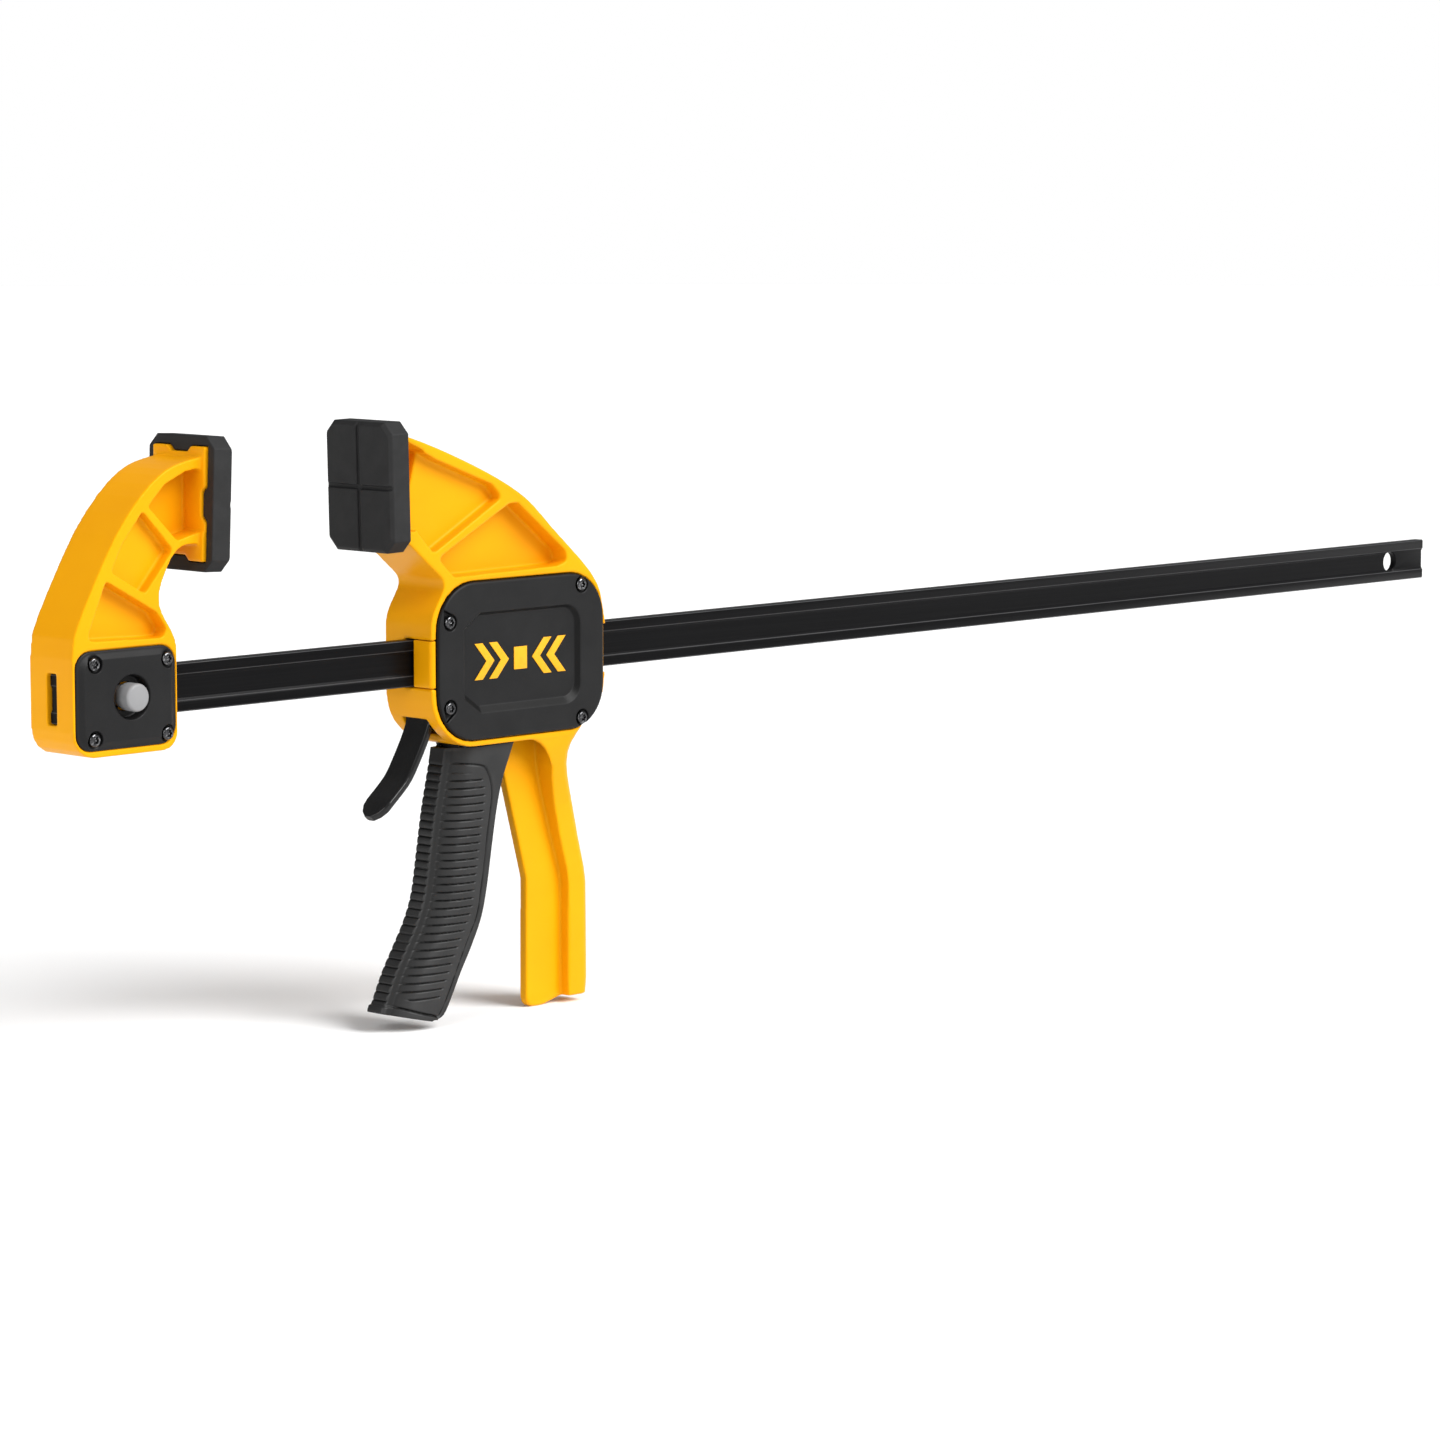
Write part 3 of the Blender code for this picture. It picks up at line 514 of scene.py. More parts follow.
def filleted(obj, edges, half, radius):
    # moves the surface near those edges onto a quarter round
    at = pointsOf(obj.data)
    for side, lines in edges.items():
        depth = half - side * at[:, 1]
        near = np.nonzero(depth < radius)[0]
        points = at[near][:, [0, 2]]
        best = np.full(len(near), farAway)
        which = np.zeros(len(near), int)
        for index, line in enumerate(lines):
            reach = awayFromRun(points, line[:2], line[2:4])
            which = np.where(reach < best, index, which)
            best = np.minimum(best, reach)
        u, v = best - radius, depth[near] - radius
        away = np.hypot(u, v)
        moved = (best < radius) & (away > radius)
        if not moved.any():
            continue
        scale = radius / away[moved]
        chosen = near[moved]
        inward = -lines[which[moved], 4:6]
        at[np.ix_(chosen, [0, 2])] += inward * (u[moved] * (scale - 1))[:, None]
        at[chosen, 1] = side * (half - radius - v[moved] * scale)
    placePoints(obj.data, at)


def dressed(obj, body, slot, *nodes):
    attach(obj, body)
    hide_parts(*nodes)
    print(obj.name, len(obj.data.polygons))
    return obj


def curveThrough(points, steps):
    # a smooth curve through the points
    ends = [points[0]] + list(points) + [points[-1]]
    curve = []
    for index in range(1, len(ends) - 2):
        p0, p1, p2, p3 = (Vector(p) for p in ends[index - 1:index + 3])
        for step in range(steps):
            t = step / steps
            bend = 2 * p0 - 5 * p1 + 4 * p2 - p3
            twist = 3 * p1 - p0 - 3 * p2 + p3
            curve.append(tuple(p1 + 0.5 * t * ((p2 - p0) + t * (bend + t * twist))))
    curve.append(tuple(points[-1]))
    return curve


def evenly(points, count):
    # the same line with evenly spaced points
    line = np.array(points, float)
    travel = np.concatenate([[0], np.cumsum(np.linalg.norm(np.diff(line, axis=0), axis=1))])
    at = np.linspace(0, travel[-1], count)
    return np.stack([np.interp(at, travel, line[:, axis]) for axis in range(line.shape[1])], axis=1)


chamferRise = 0.7  # how far a cut corner climbs for each unit that it runs


def roundedRing(left, right, low, high, radii, y, steps=8, chamfer=0.0):
    # a rounded rectangle; with a chamfer, its two left corners are cut straight instead
    ring = []
    corners = ((left, low, 180), (right, low, 270), (right, high, 0), (left, high, 90))
    for (x, z, start), radius in zip(corners, radii):
        inX = 1 if x == left else -1
        inZ = 1 if z == low else -1
        if chamfer and x == left:
            first, last = (x, z + inZ * chamfer * chamferRise), (x + inX * chamfer, z)
            if z == high:
                first, last = last, first
            for step in range(steps + 1):
                t = step / steps
                ring.append((first[0] + (last[0] - first[0]) * t, y, first[1] + (last[1] - first[1]) * t))
            continue
        for step in range(steps + 1):
            turn = math.radians(start + 90 * step / steps)
            centre = (x + inX * radius, z + inZ * radius)
            ring.append((centre[0] + radius * math.cos(turn), y, centre[1] + radius * math.sin(turn)))
    return ring


barShape = {"height": 19.0, "thickness": 5.2, "web": 3.4, "flange": 4.2, "edge": 0.55, "endBevel": 0.35,
            "holes": (27.2, 830.0), "holeRadius": 4.75, "sink": 0.8, "sinkDepth": 0.45}


def makeBar():
    b = barShape
    half, web, tall = b["thickness"] / 2, b["web"] / 2, b["height"] / 2
    inner = tall - b["flange"]
    edge = b["edge"]
    section = []
    for step in range(5):  # rounded outer edge
        turn = math.radians(90 - 90 * step / 4)
        section.append((half - edge + edge * math.cos(turn), tall - edge + edge * math.sin(turn)))
    # the flange's softer inner edge, then the slope down to the web
    section += [(half, inner + 0.35), (half - 0.12, inner + 0.1), (half - 0.35, inner - 0.1)]
    section += [(web + 0.25, inner - 0.75), (web + 0.08, inner - 0.95), (web, inner - 1.3)]
    side = section + [(y, -z) for y, z in reversed(section)]
    ring = side + [(-y, -z) for y, z in side]
    start, end = toMm(barLow).x, toMm(barHigh).x
    soft = b["endBevel"]
    rings = []
    for x, shrink in ((start, soft), (start + soft, 0), (end - soft, 0), (end, soft)):
        rings.append([(x, y * (1 - shrink / half / 2), z * (1 - shrink / tall)) for y, z in ring])
    bar = loft(rings, "steelBar", "bar")
    radius, sink, face = b["holeRadius"], b["sink"], web - b["sinkDepth"]
    for index, x in enumerate(b["holes"]):
        lip = web + 0.4  # small countersink on each side of the web
        profile = [(radius + sink, -lip), (radius, -face), (radius, face), (radius + sink, lip)]
        cutBy(bar, turned(profile, x, 0, f"barHole{index}"))
    dressed(shadeRound(bar, 28), "bar", "bar_steel", "bar")


makeBar()


# A moulding's "grid" is how finely it is evened out, "rounds" how much it is rounded, "faces" its triangles.
jawLooks = {"grid": 0.5, "rounds": 7, "faces": 170000, "half": 13.0, "fillet": 1.9,
            "coverRecess": (0.5, 49.8, -20.0, 19.2)}


def makeJaw():
    left, right, low, high = jawLooks["coverRecess"]

    def coverRecess(point, out):
        return point.y < 0 and left < point.x < right and low < point.z < high

    jaw = copyOf("fixed_jaw", "jawBody")
    moulded(jaw, jawLooks, "yellow", outerEdges(jaw, jawLooks["half"], [coverRecess]))
    dressed(jaw, "bar", "yellow_plastic", "fixed_jaw")


headCover = {"left": 183.0, "right": 275.4, "low": -32.2, "high": 32.2, "back": -12.3, "face": -15.0,
             "radii": (20.0, 18.0, 19.0, 20.0), "panel": (197.0, 262.0, -21.5, 19.7), "depth": 1.9,
             "slopes": (1.1, 2.2, 3.0, 1.5), "panelRadius": 8.5, "chamfer": 9.0, "boss": 4.5,
             "bossEnd": -9.8, "pinHole": 2.6, "grid": 0.32, "rounds": 3, "faces": 120000}
headLooks = {"grid": 0.55, "rounds": 6, "faces": 195000, "half": 14.0, "fillet": 2.0,
             "slotHalf": 10.5, "handleRoot": (226.0, -27.0), "coverGap": 0.9}
keeperLooks = {"grid": 0.3, "rounds": 3, "faces": 20000, "half": 13.7, "fillet": 2.0, "tall": 11.0,
               "places": {"front_bar_keeper": ("frontKeeper", 180.4, -1),
                          "rear_bar_keeper": ("rearKeeper", 277.2, 1)}}


def coverOutline(inset, y):
    c = headCover
    box = (c["left"] + inset, c["right"] - inset, c["low"] + inset, c["high"] - inset)
    return roundedRing(*box, [radius - inset for radius in c["radii"]], y, steps=12)


def makeHead():
    h = headLooks
    outline = np.array(coverOutline(0, 0))[:, [0, 2]]

    def barSlot(point, out):
        return abs(point.z) < h["slotHalf"] and abs(out.z) > 0.9

    def handleRoot(point, out):
        front, top = h["handleRoot"]
        return point.z < top and point.x > front

    def coverRecess(point, out):
        return point.y < 0 and awayFromLine(np.array([[point.x, point.z]]), outline)[0] < h["coverGap"]

    head = copyOf("head_body", "headShell")
    moulded(head, h, "yellow", outerEdges(head, h["half"], [barSlot, handleRoot, coverRecess]))
    dressed(head, "head", "yellow_plastic", "head_body")
    tall = keeperLooks["tall"]
    for node, (name, x, out) in keeperLooks["places"].items():
        edges = {-1: np.array([(x, -tall, x, tall, out, 0.0)])}  # the near side's end edge
        keeper = moulded(copyOf(node, name), keeperLooks, "yellow", edges)
        dressed(keeper, "head", "yellow_plastic", node)


makeJaw()
makeHead()


padShape = {"grid": 0.28, "rounds": 4, "faces": 110000}
padPlaces = {"fixed_jaw_pad": ("fixedPad", "bar", (63.5, 71.0), 2.4),
             "moving_jaw_pad": ("movingPad", "head", (164.2, 72.5), -1.3)}  # name, body, middle and lean


def makePads():
    for node, (name, body, (x, z), lean) in padPlaces.items():
        centre = Matrix.Translation(origin + Vector((x, 0, z)) * mm)
        upright = centre @ Matrix.Rotation(math.radians(-lean), 4, "Y") @ centre.inverted()
        pad = copyOf(node, name)
        pad.data.transform(upright)  # square to the grid while it is rounded
        moulded(pad, padShape, "pad")
        pad.data.transform(upright.inverted())
        dressed(pad, body, "pad_rubber", node)


makePads()


jawCover = {"left": 1.3, "right": 49.2, "low": -19.3, "high": 18.5, "radius": 7.0, "back": -11.87,
            "face": -14.4, "rim": -13.2, "band": 1.0, "slope": 3.2, "seat": -12.75, "cup": 9.8,
            "cupEnd": -8.2, "buttonHole": 5.52, "grid": 0.3, "rounds": 4, "faces": 90000}
seatShape = {"radius": 3.45, "floor": 3.1, "depth": 0.9, "floorDepth": 1.15, "hole": 1.7, "notchTip": 6.4,
             "notchBase": 1.5, "notchHalf": 2.97, "notchDepth": 1.5}
screwPlaces = {
    "fixed_cover_screw": ((9.7, 13.6), (45.0, 13.2), (9.5, -15.0), (44.8, -15.4)),
    "head_cover_screw": ((189.6, 16.6), (262.8, 27.3), (189.5, -18.1), (262.9, -27.8)),
}
seatNotches = ((-0.55, 0.84), None, (-0.35, -0.94), None)  # which way each head seat's notch points
pinPlace = (214.0, 15.5)


def screwSeat(x, z, face, notch=None):
    # a round seat, with a pointed notch beside it where there is one
    s = seatShape
    radius = s["radius"]
    profile = [(radius, face - 2), (radius, face + s["depth"]), (s["floor"], face + s["floorDepth"])]
    seat = turned(profile, x, z, "seat")
    cutters = [seat, turned([(s["hole"], face - 1), (s["hole"], face + 9)], x, z, "seatHole", sides=24)]
    if notch:
        out, centre = Vector(notch), Vector((x, z))
        side = Vector((-out.y, out.x)) * s["notchHalf"]
        base = centre + out * s["notchBase"]
        outline = [centre + out * s["notchTip"], base + side, base - side]
        levels = (face - 2, face + s["notchDepth"])
        cutters.append(loft([[(p.x, y, p.y) for p in outline] for y in levels], "seatNotch"))
    return cutters


def makeJawCover():
    c = jawCover
    rings = []
    for inset, y in ((0, c["back"]), (0, c["rim"] + 0.3), (0.35, c["rim"]), (c["band"], c["rim"]),
                     (c["slope"], c["face"])):
        box = (c["left"] + inset, c["right"] - inset, c["low"] + inset, c["high"] - inset)
        rings.append(roundedRing(*box, [c["radius"] - inset * 0.6] * 4, y))
    cover = loft(rings, "jawCover")
    x = barShape["holes"][0]
    joinedTo(cover, turned([(c["cup"], c["back"] - 0.7), (c["cup"], c["cupEnd"])], x, 0, "cup", sides=64))
    inside = [(8.9, -16.0), (8.8, c["face"]), (8.4, c["face"] + 0.6), (8.2, -10.0)]
    hole = [(c["buttonHole"], -12), (c["buttonHole"], -5)]
    cutBy(cover, turned(inside, x, 0, "bowl", sides=64), turned(hole, x, 0, "buttonHole", sides=64))
    for place in screwPlaces["fixed_cover_screw"]:
        cutBy(cover, *screwSeat(*place, c["seat"] - seatShape["floorDepth"]))
    moulded(cover, c, "cover")
    dressed(cover, "bar", "cover_plastic", "fixed_jaw_cover")


def makeHeadCover():
    c = headCover
    levels = ((0, c["back"]), (0, c["face"] + 0.9), (0.35, c["face"] + 0.3), (1.1, c["face"]))
    cover = loft([coverOutline(inset, y) for inset, y in levels], "headCover")
    left, right, low, high = c["panel"]
    inLeft, inRight, inLow, inHigh = c["slopes"]
    sunk = []
    for inset, y in ((-1, c["face"] - c["depth"]), (0, c["face"]), (1, c["face"] + c["depth"])):
        box = (left + inset * inLeft, right - inset * inRight, low + inset * inLow, high - inset * inHigh)
        radii = [c["panelRadius"] - inset * 2] * 4
        sunk.append(roundedRing(*box, radii, y, steps=12, chamfer=c["chamfer"] - inset * 0.8))
    cutBy(cover, loft(sunk, "panel"))
    boss = [(c["boss"], c["back"] - 0.6), (c["boss"], c["bossEnd"])]
    joinedTo(cover, turned(boss, *pinPlace, "pinBoss"))
    cutBy(cover, turned([(c["pinHole"], -12.6), (c["pinHole"], -5)], *pinPlace, "pinHole"))
    for place, notch in zip(screwPlaces["head_cover_screw"], seatNotches):
        cutBy(cover, *screwSeat(*place, c["face"], notch))
    moulded(cover, c, "panel")
    dressed(cover, "head", "cover_plastic", "head_cover")


makeJawCover()
makeHeadCover()


# Two pairs of arrowheads close on a block.
emblemShape = {"centre": (229.5, -0.6), "thickness": 0.3, "lift": 0.02, "height": 7.4, "tip": 6.5,
               "sweep": 6.5, "pitch": 8.0, "width": 4.4, "block": (3.6, 4.6), "bevel": 0.08}


def makeEmblem():
    e = emblemShape
    x, z = e["centre"]
    floor = headCover["face"] + headCover["depth"] - e["lift"]
    mesh = bmesh.new()

    def plate(outline):
        face = mesh.faces.new([mesh.verts.new((x + px, floor, z + pz)) for px, pz in outline])
        pulled = bmesh.ops.extrude_face_region(mesh, geom=[face])
        moved = [item for item in pulled["geom"] if isinstance(item, bmesh.types.BMVert)]
        bmesh.ops.translate(mesh, vec=(0, -e["thickness"], 0), verts=moved)

    tall = e["height"]
    for side in (-1, 1):
        wide = e["width"] * side
        for index in range(2):
            tip = side * (e["tip"] + e["pitch"] * index)
            back = tip + side * e["sweep"]
            plate([(tip, 0), (back, tall), (back + wide, tall), (tip + wide, 0), (back + wide, -tall),
                   (back, -tall)])
    halfWide, halfTall = e["block"]
    plate([(-halfWide, -halfTall), (halfWide, -halfTall), (halfWide, halfTall), (-halfWide, halfTall)])
    emblem = bevelled(objectFrom(mesh, "arrowEmblem", "emblem"), e["bevel"])
    dressed(shadeRound(emblem), "head", "badge_plastic", "badge")


makeEmblem()


screwShape = {"head": 2.7, "crown": 1.75, "edge": 0.35, "rise": 1.6, "shank": 1.4, "length": 5.4,
              "socket": 1.3, "socketDepth": 1.2, "lobe": 0.22, "sides": 48}


def makeScrew(node, name, body, x, z, under):
    # domed head with a six-lobed socket
    s = screwShape
    sides = s["sides"]

    def ring(radius, y, lobe=0.0):
        points = []
        for side in range(sides):
            turn = math.tau * side / sides + 0.3
            reach = radius + lobe * math.cos(6 * turn)
            points.append((x + reach * math.cos(turn), y, z + reach * math.sin(turn)))
        return points

    head, crown, edge = s["head"], s["crown"], s["edge"]
    rings = [ring(s["shank"], under + s["length"]), ring(s["shank"], under), ring(head - 0.1, under),
             ring(head, under - 0.15)]
    for step in range(1, 7):
        turn = math.radians(90 * step / 6)
        across = crown + (head - crown) * math.cos(turn)
        rings.append(ring(across, under - edge - (s["rise"] - edge) * math.sin(turn)))
    top, socket, lobe = under - s["rise"], s["socket"], s["lobe"]
    rings += [ring(socket + 0.12, top, lobe), ring(socket, top + 0.12, lobe),
              ring(socket, top + s["socketDepth"], lobe), ring(0.3, top + s["socketDepth"] + 0.3)]
    dressed(shadeRound(loft(rings, name, "screw"), 40), body, "screw_steel", node)


def makeFasteners():
    seats = (("fixed_cover_screw", "jawScrew", "bar", jawCover["seat"] - 0.05),
             ("head_cover_screw", "headScrew", "head", headCover["face"] + 1.1))
    for node, name, body, under in seats:
        for number, (x, z) in enumerate(screwPlaces[node], 1):
            makeScrew(f"{node}_{number}", f"{name}{number}", body, x, z, under)


buttonShape = {"radius": 5.4, "top": -18.6, "shoulder": -11.6, "plunger": 4.2, "end": 5.0, "edge": 1.3,
               "dome": 0.35}


def makeButton():
    b = buttonShape
    edge, dome, top, plunger = b["edge"], b["dome"], b["top"], b["plunger"]
    flat = b["radius"] - edge
    profile = [(plunger - 0.4, b["end"]), (plunger, b["end"] - 0.4), (plunger, b["shoulder"]),
               (b["radius"], b["shoulder"]), (b["radius"], top + edge + dome)]
    for step in range(1, 7):
        turn = math.radians(90 * step / 6)
        profile.append((flat + edge * math.cos(turn), top + dome + edge * (1 - math.sin(turn))))
    for step in range(1, 5):
        t = step / 4
        profile.append((flat * (1 - t) + 0.2 * t, top + dome * (1 - t) ** 2))
    button = turned(profile, barShape["holes"][0], 0, "greyButtonCap", "button", sides=64)
    dressed(shadeRound(button, 40), "button", "button_plastic", "release_button")


makeFasteners()
makeButton()


# "outer" is the half width at each depth behind the front, "inner" the hollow's at each share of the depth.
gripShape = {
    "fronts": ((195.4, -35.8), (194.3, -41.4), (192.1, -50.9), (189.6, -62.2), (187.1, -77.0),
               (184.0, -94.4), (179.7, -105.4), (173.8, -115.3), (167.8, -125.2), (163.0, -135.2),
               (161.0, -139.8)),
    "rears": ((227.4, -35.2), (224.6, -41.5), (220.6, -51.0), (217.6, -62.5), (215.0, -76.5),
              (212.0, -93.5), (208.8, -105.5), (203.4, -116.5), (197.2, -127.0), (191.3, -138.0),
              (186.6, -145.6)),
    "outer": ((0.0, 3.9), (0.4, 4.3), (3.2, 4.6), (4.2, 5.1), (6.2, 7.2), (9.2, 9.7), (13.0, 11.0),
              (18.0, 11.5), (40.0, 11.5)),
    "inner": ((1.0, 9.1), (0.45, 8.9), (0.34, 7.5), (0.22, 5.2), (0.12, 3.0)),
    "border": ((190.1, -41.2), (207.9, -42.9), (212.7, -46.0), (215.0, -55.1), (212.4, -71.7),
               (208.6, -94.5), (206.1, -104.9), (200.1, -115.8), (186.7, -140.9), (180.8, -142.3),
               (164.4, -137.1)),
    "stations": 440, "ribs": 30, "ribStart": -42.6, "ribPitch": 3.2, "ribEnd": 3.4, "grooveReach": 0.30,
    "sideDepth": 0.75, "frontDepth": 0.8, "borderReach": 0.34, "borderDepth": 0.7, "lipRise": 0.8,
    "corner": (182.85, -136.65), "cornerRadius": 7.9, "upRear": (0.526, 0.85), "alongEnd": (-0.975, 0.221),
}


def smoothStep(low, high, value):
    t = np.clip((value - low) / (high - low), 0, 1)
    return t * t * (3 - 2 * t)


def makeGrip():
    g = gripShape
    fronts = evenly(curveThrough(g["fronts"], 8), g["stations"])
    rears = evenly(curveThrough(g["rears"], 8), g["stations"])
    outer = np.array(curveThrough(g["outer"], 6))
    across = np.linspace(-1, 1, 22)[1:-1]
    rings = []
    for front, rear in zip(fronts, rears):
        length = np.linalg.norm(rear - front)
        along = (rear - front) / length
        depths = np.concatenate([np.linspace(0, 3, 11), np.linspace(3, length - 0.5, 66)[1:]])
        half = np.interp(depths, outer[:, 0], outer[:, 1])
        side = list(zip(depths, half)) + [(length - 0.12, 11.38), (length, 11.0), (length, 9.5)]
        hollow = evenly([(share * length, y) for share, y in g["inner"]], 22).tolist()
        loop = [(0.0, y * outer[0, 1]) for y in across] + side + hollow
        loop += [(depth, -y) for depth, y in reversed(side + hollow)]
        rings.append([(front[0] + along[0] * depth, y, front[1] + along[1] * depth) for depth, y in loop])
    grip = loft(rings, "triggerGrip", "grip")
    shapeGrip(grip.data, len(rings[0]), len(across), len(side))
    return shadeRound(grip, 50)


def shapeGrip(data, ringSize, frontCount, sideCount):
    # sinks the grooves between the ribs and the border groove, and rounds the lower rear corner
    g = gripShape
    at = pointsOf(data)
    outward = np.empty(at.size, np.float32)
    data.vertex_normals.foreach_get("vector", outward)
    outward = outward.reshape(-1, 3)
    x, z = at[:, 0], at[:, 2]

    # where each point is in its ring: on the front strip, in the smooth valley beside it, or on a flank
    index = np.arange(len(at)) % ringSize
    fromFront = np.maximum(np.minimum(index - frontCount, ringSize - 1 - index), 0)
    front = np.where(index < frontCount, 1.0, 1 - smoothStep(0, 3, fromFront))
    flank = smoothStep(9, 20, fromFront)
    outside = (index < frontCount + sideCount - 3) | (index >= ringSize - sideCount + 3)

    # the border groove runs round the ribbed part of each flank
    border = np.array(curveThrough(g["border"], 5))
    gap = awayFromLine(at[:, [0, 2]], border)
    down, foot = border[5:-20], border[:-26:-1]  # its rear run, and its lower end from the front
    rear = np.interp(-z, -down[:, 1], down[:, 0])
    low = np.interp(x, foot[:, 0], foot[:, 1])
    within = (x < rear) & (z < g["border"][0][1] - 0.2) & (z > low)

    phase = (g["ribStart"] - z) / g["ribPitch"]
    near = np.abs(phase - np.round(phase)) * g["ribPitch"]
    used = (phase > -0.4) & (phase < g["ribs"] - 0.6)
    groove = np.exp(-(near / g["grooveReach"]) ** 2)
    swell = (1 - np.cos(np.pi * np.clip(1 - near / (0.5 * g["ribPitch"]), 0, 1))) * 0.07
    grooveFront = (swell + groove * 0.8) * g["frontDepth"]
    ribbed = smoothStep(g["ribEnd"], g["ribEnd"] + 0.9, gap) * within
    edging = np.exp(-(gap / g["borderReach"]) ** 2) * g["borderDepth"]
    side = np.maximum(groove * g["sideDepth"] * ribbed * used, edging) * flank
    depth = front * grooveFront * used + (1 - front) * side

    # painted shade: darker in the valley beside the front strip and deep in the grooves, stored per point
    valley = smoothStep(1, 5, fromFront) * (1 - smoothStep(12, 24, fromFront)) * (z < -37)
    recessShade = np.clip(np.maximum(depth / g["sideDepth"], valley), 0, 1) * outside
    data.attributes.new("recessShade", "FLOAT", "POINT").data.foreach_set("value", recessShade.astype(np.float32))
    lip = smoothStep(0, 0.9, low - z) * (x < 184)  # thin lip round the lower end
    at = at - outward * ((depth - lip * g["lipRise"]) * outside)[:, None]

    away = at[:, [0, 2]] - np.array(g["corner"])
    reach = np.linalg.norm(away, axis=1)
    radius = g["cornerRadius"]
    beyond = (away @ np.array(g["upRear"]) < 0) & (away @ np.array(g["alongEnd"]) < 0) & (reach > radius)
    scale = np.where(beyond, radius / np.maximum(reach, 0.001), 1.0)
    at[:, [0, 2]] = np.array(g["corner"]) + away * scale[:, None]
    placePoints(data, at)


armShape = {"radius": 6.5, "inner": 5.0, "outer": 8.7, "bore": 2.58, "bevel": 0.35,
            "outline": ((206.8, -8.0), (202.4, -28.0), (202.4, -35.0), (204.0, -37.5), (204.0, -44.0),
                        (219.0, -44.0), (224.6, -37.0), (225.6, -31.0), (216.4, -22.5), (221.2, -13.6),
                        (221.2, -11.4))}


def makeTriggerArms():
    # two arms that straddle the bar and turn on the pin
    a = armShape
    x, z = pinPlace
    outline = []
    for step in range(17):
        turn = math.radians(180 * step / 16)
        outline.append((x + a["radius"] * math.cos(turn), z + a["radius"] * math.sin(turn)))
    outline += a["outline"]
    for side, name in ((-1, "triggerArmNear"), (1, "triggerArmFar")):
        levels = (side * a["inner"], side * a["outer"])
        arm = loft([[(px, y, pz) for px, pz in outline] for y in levels], name, "grip")
        cutBy(arm, turned([(a["bore"], -15), (a["bore"], 15)], x, z, "armBore"))
        dressed(shadeRound(bevelled(arm, a["bevel"]), 30), "trigger", "grip_plastic", "trigger_grip")


dressed(makeGrip(), "trigger", "grip_plastic", "trigger_grip")
makeTriggerArms()


leverShape = {"grid": 0.26, "rounds": 3, "faces": 80000}


def makeLever():
    lever = moulded(copyOf("release_lever", "brakeLever"), leverShape, "lever")
    dressed(lever, "brake", "grip_plastic", "release_lever")


makeLever()


springShapes = {
    "drive_spring": {"name": "driveSpring", "body": "head", "joint": "trigger_squeeze",
                     "start": (231.2, 0, 0), "along": (1, 0, 0), "radius": 10.75, "wire": 0.65,
                     "length": 36.5, "turns": 7, "travel": 10.9},
    "brake_spring": {"name": "brakeSpring", "body": "head", "joint": "brake_release",
                     "start": (195.1, 0, -14.2), "along": (1, 0, 0), "radius": 2.6, "wire": 0.4,
                     "length": 5.2, "turns": 4, "travel": 3.1},
    "button_spring": {"name": "buttonSpring", "body": "bar", "joint": "button_press",
                      "start": (27.2, 5.3, 0), "along": (0, 1, 0), "radius": 3.0, "wire": 0.4,
                      "length": 6.0, "turns": 4, "travel": 3.6},
}


def makeSpring(node, spring):
    # a coil of wire
    start, along = Vector(spring["start"]), Vector(spring["along"])
    across, up = Vector((along.y, along.x, 0)), Vector((0, 0, 1))
    wire, steps = spring["wire"], 30 * spring["turns"]
    rings = []
    for step in range(steps + 1):
        turn = math.tau * spring["turns"] * step / steps
        rise = wire + (spring["length"] - 2 * wire) * step / steps
        outward = across * math.cos(turn) + up * math.sin(turn)
        centre = start + along * rise + outward * spring["radius"]
        ring = []
        for side in range(10):
            angle = math.tau * side / 10
            ring.append(centre + outward * (wire * math.cos(angle)) + along * (wire * math.sin(angle)))
        rings.append(ring)
    made = shadeRound(loft(rings, spring["name"], "steel"), 60)
    dressed(made, spring["body"], "spring_steel", node)
    fixedEnd = origin + (start + along * spring["length"]) * mm
    keep = 1 - spring["travel"] / spring["length"]
    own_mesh(made)


for node, spring in springShapes.items():
    makeSpring(node, spring)


def finishInnerPieces():
    # these keep their CAD meshes
    for node in ("trigger_pin", "drive_plate_1", "drive_plate_2", "drive_plate_3", "brake_plate"):
        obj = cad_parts[node]
        obj.data.materials.clear()
        obj.data.materials.append(finishes["steel"])
        shadeRound(obj, 40)


finishInnerPieces()
print("pieces made")


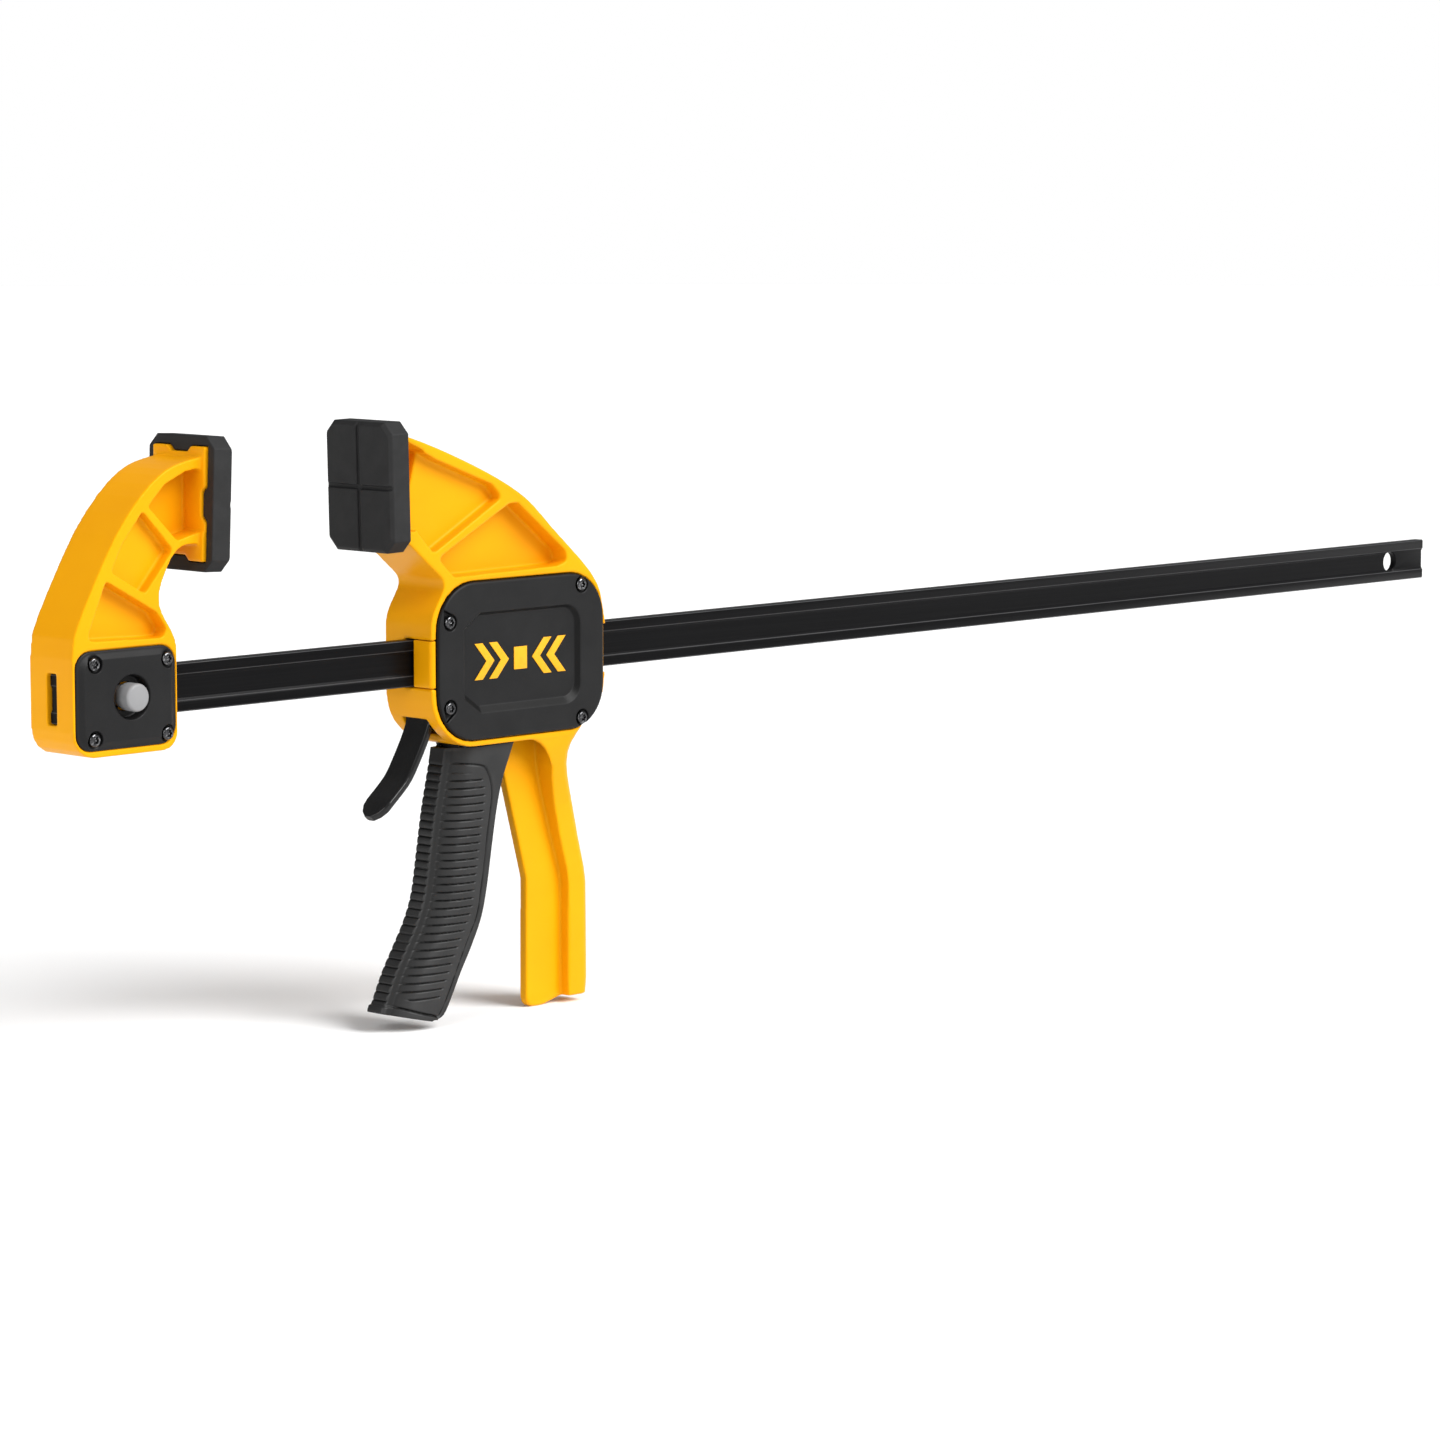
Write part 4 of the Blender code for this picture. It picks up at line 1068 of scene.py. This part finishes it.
# The world's light swings from its level by "swing" towards the bright side and away from it.
stageLooks = {"floorRadius": 9.0, "worldLight": 0.46, "worldSwing": 0.30, "brightSide": (0.2, -0.8, -0.5)}
lamps = {
    "keyLight": {"from": (0.262, -0.72, 0.643), "spread": 42.0, "strength": 3.8},
    "leftLight": {"from": (-0.91, -0.12, 0.40), "spread": 50.0, "strength": 1.4},
}


def makeFloor():
    mesh = bmesh.new()
    bmesh.ops.create_circle(mesh, cap_ends=True, segments=96, radius=stageLooks["floorRadius"])
    data = bpy.data.meshes.new("floor")
    mesh.to_mesh(data)
    mesh.free()
    data.materials.append(finishes["floor"])
    linked("floor", data)


def makeWorld():
    world = bpy.data.worlds.new("softStudio")
    bpy.context.scene.world = world
    w = Shading(world)
    brightSide = Vector(stageLooks["brightSide"]).normalized()
    inputs = {0: w.node("ShaderNodeTexCoord", output="Generated"), 1: brightSide}
    facing = w.node("ShaderNodeVectorMath", {"operation": "DOT_PRODUCT"}, inputs, "Value")
    level = facing * stageLooks["worldSwing"] + stageLooks["worldLight"]
    soft = w.node("ShaderNodeBackground", None, {"Color": rgb(1, 1, 1), "Strength": level})
    white = w.node("ShaderNodeBackground", None, {"Color": rgb(1, 1, 1), "Strength": 1.0})
    seen = w.node("ShaderNodeLightPath", output="Is Camera Ray")
    mixed = w.node("ShaderNodeMixShader", None, {0: seen, 1: soft, 2: white})
    w.node("ShaderNodeOutputWorld", None, {0: mixed})


def makeLamps():
    for name, lamp in lamps.items():
        light = bpy.data.lights.new(name, "SUN")
        light.angle = math.radians(lamp["spread"])
        light.energy = lamp["strength"]
        towards = -Vector(lamp["from"])
        linked(name, light).rotation_euler = towards.to_track_quat("-Z", "Y").to_euler()


cameraPlace = {"at": (-1.57706, -1.48000, 0.36435), "towards": (0.7086, 0.6954, -0.1196), "lens": 124.2}


def makeCamera():
    data = bpy.data.cameras.new("camera")
    data.lens = cameraPlace["lens"]
    data.sensor_width = 36.0
    camera = linked("camera", data)
    camera.location = cameraPlace["at"]
    camera.rotation_euler = Vector(cameraPlace["towards"]).to_track_quat("-Z", "Y").to_euler()
    bpy.context.scene.camera = camera
    bpy.context.scene.view_settings.view_transform = "Standard"


makeFloor()
makeWorld()
makeLamps()
makeCamera()
print("stage set")
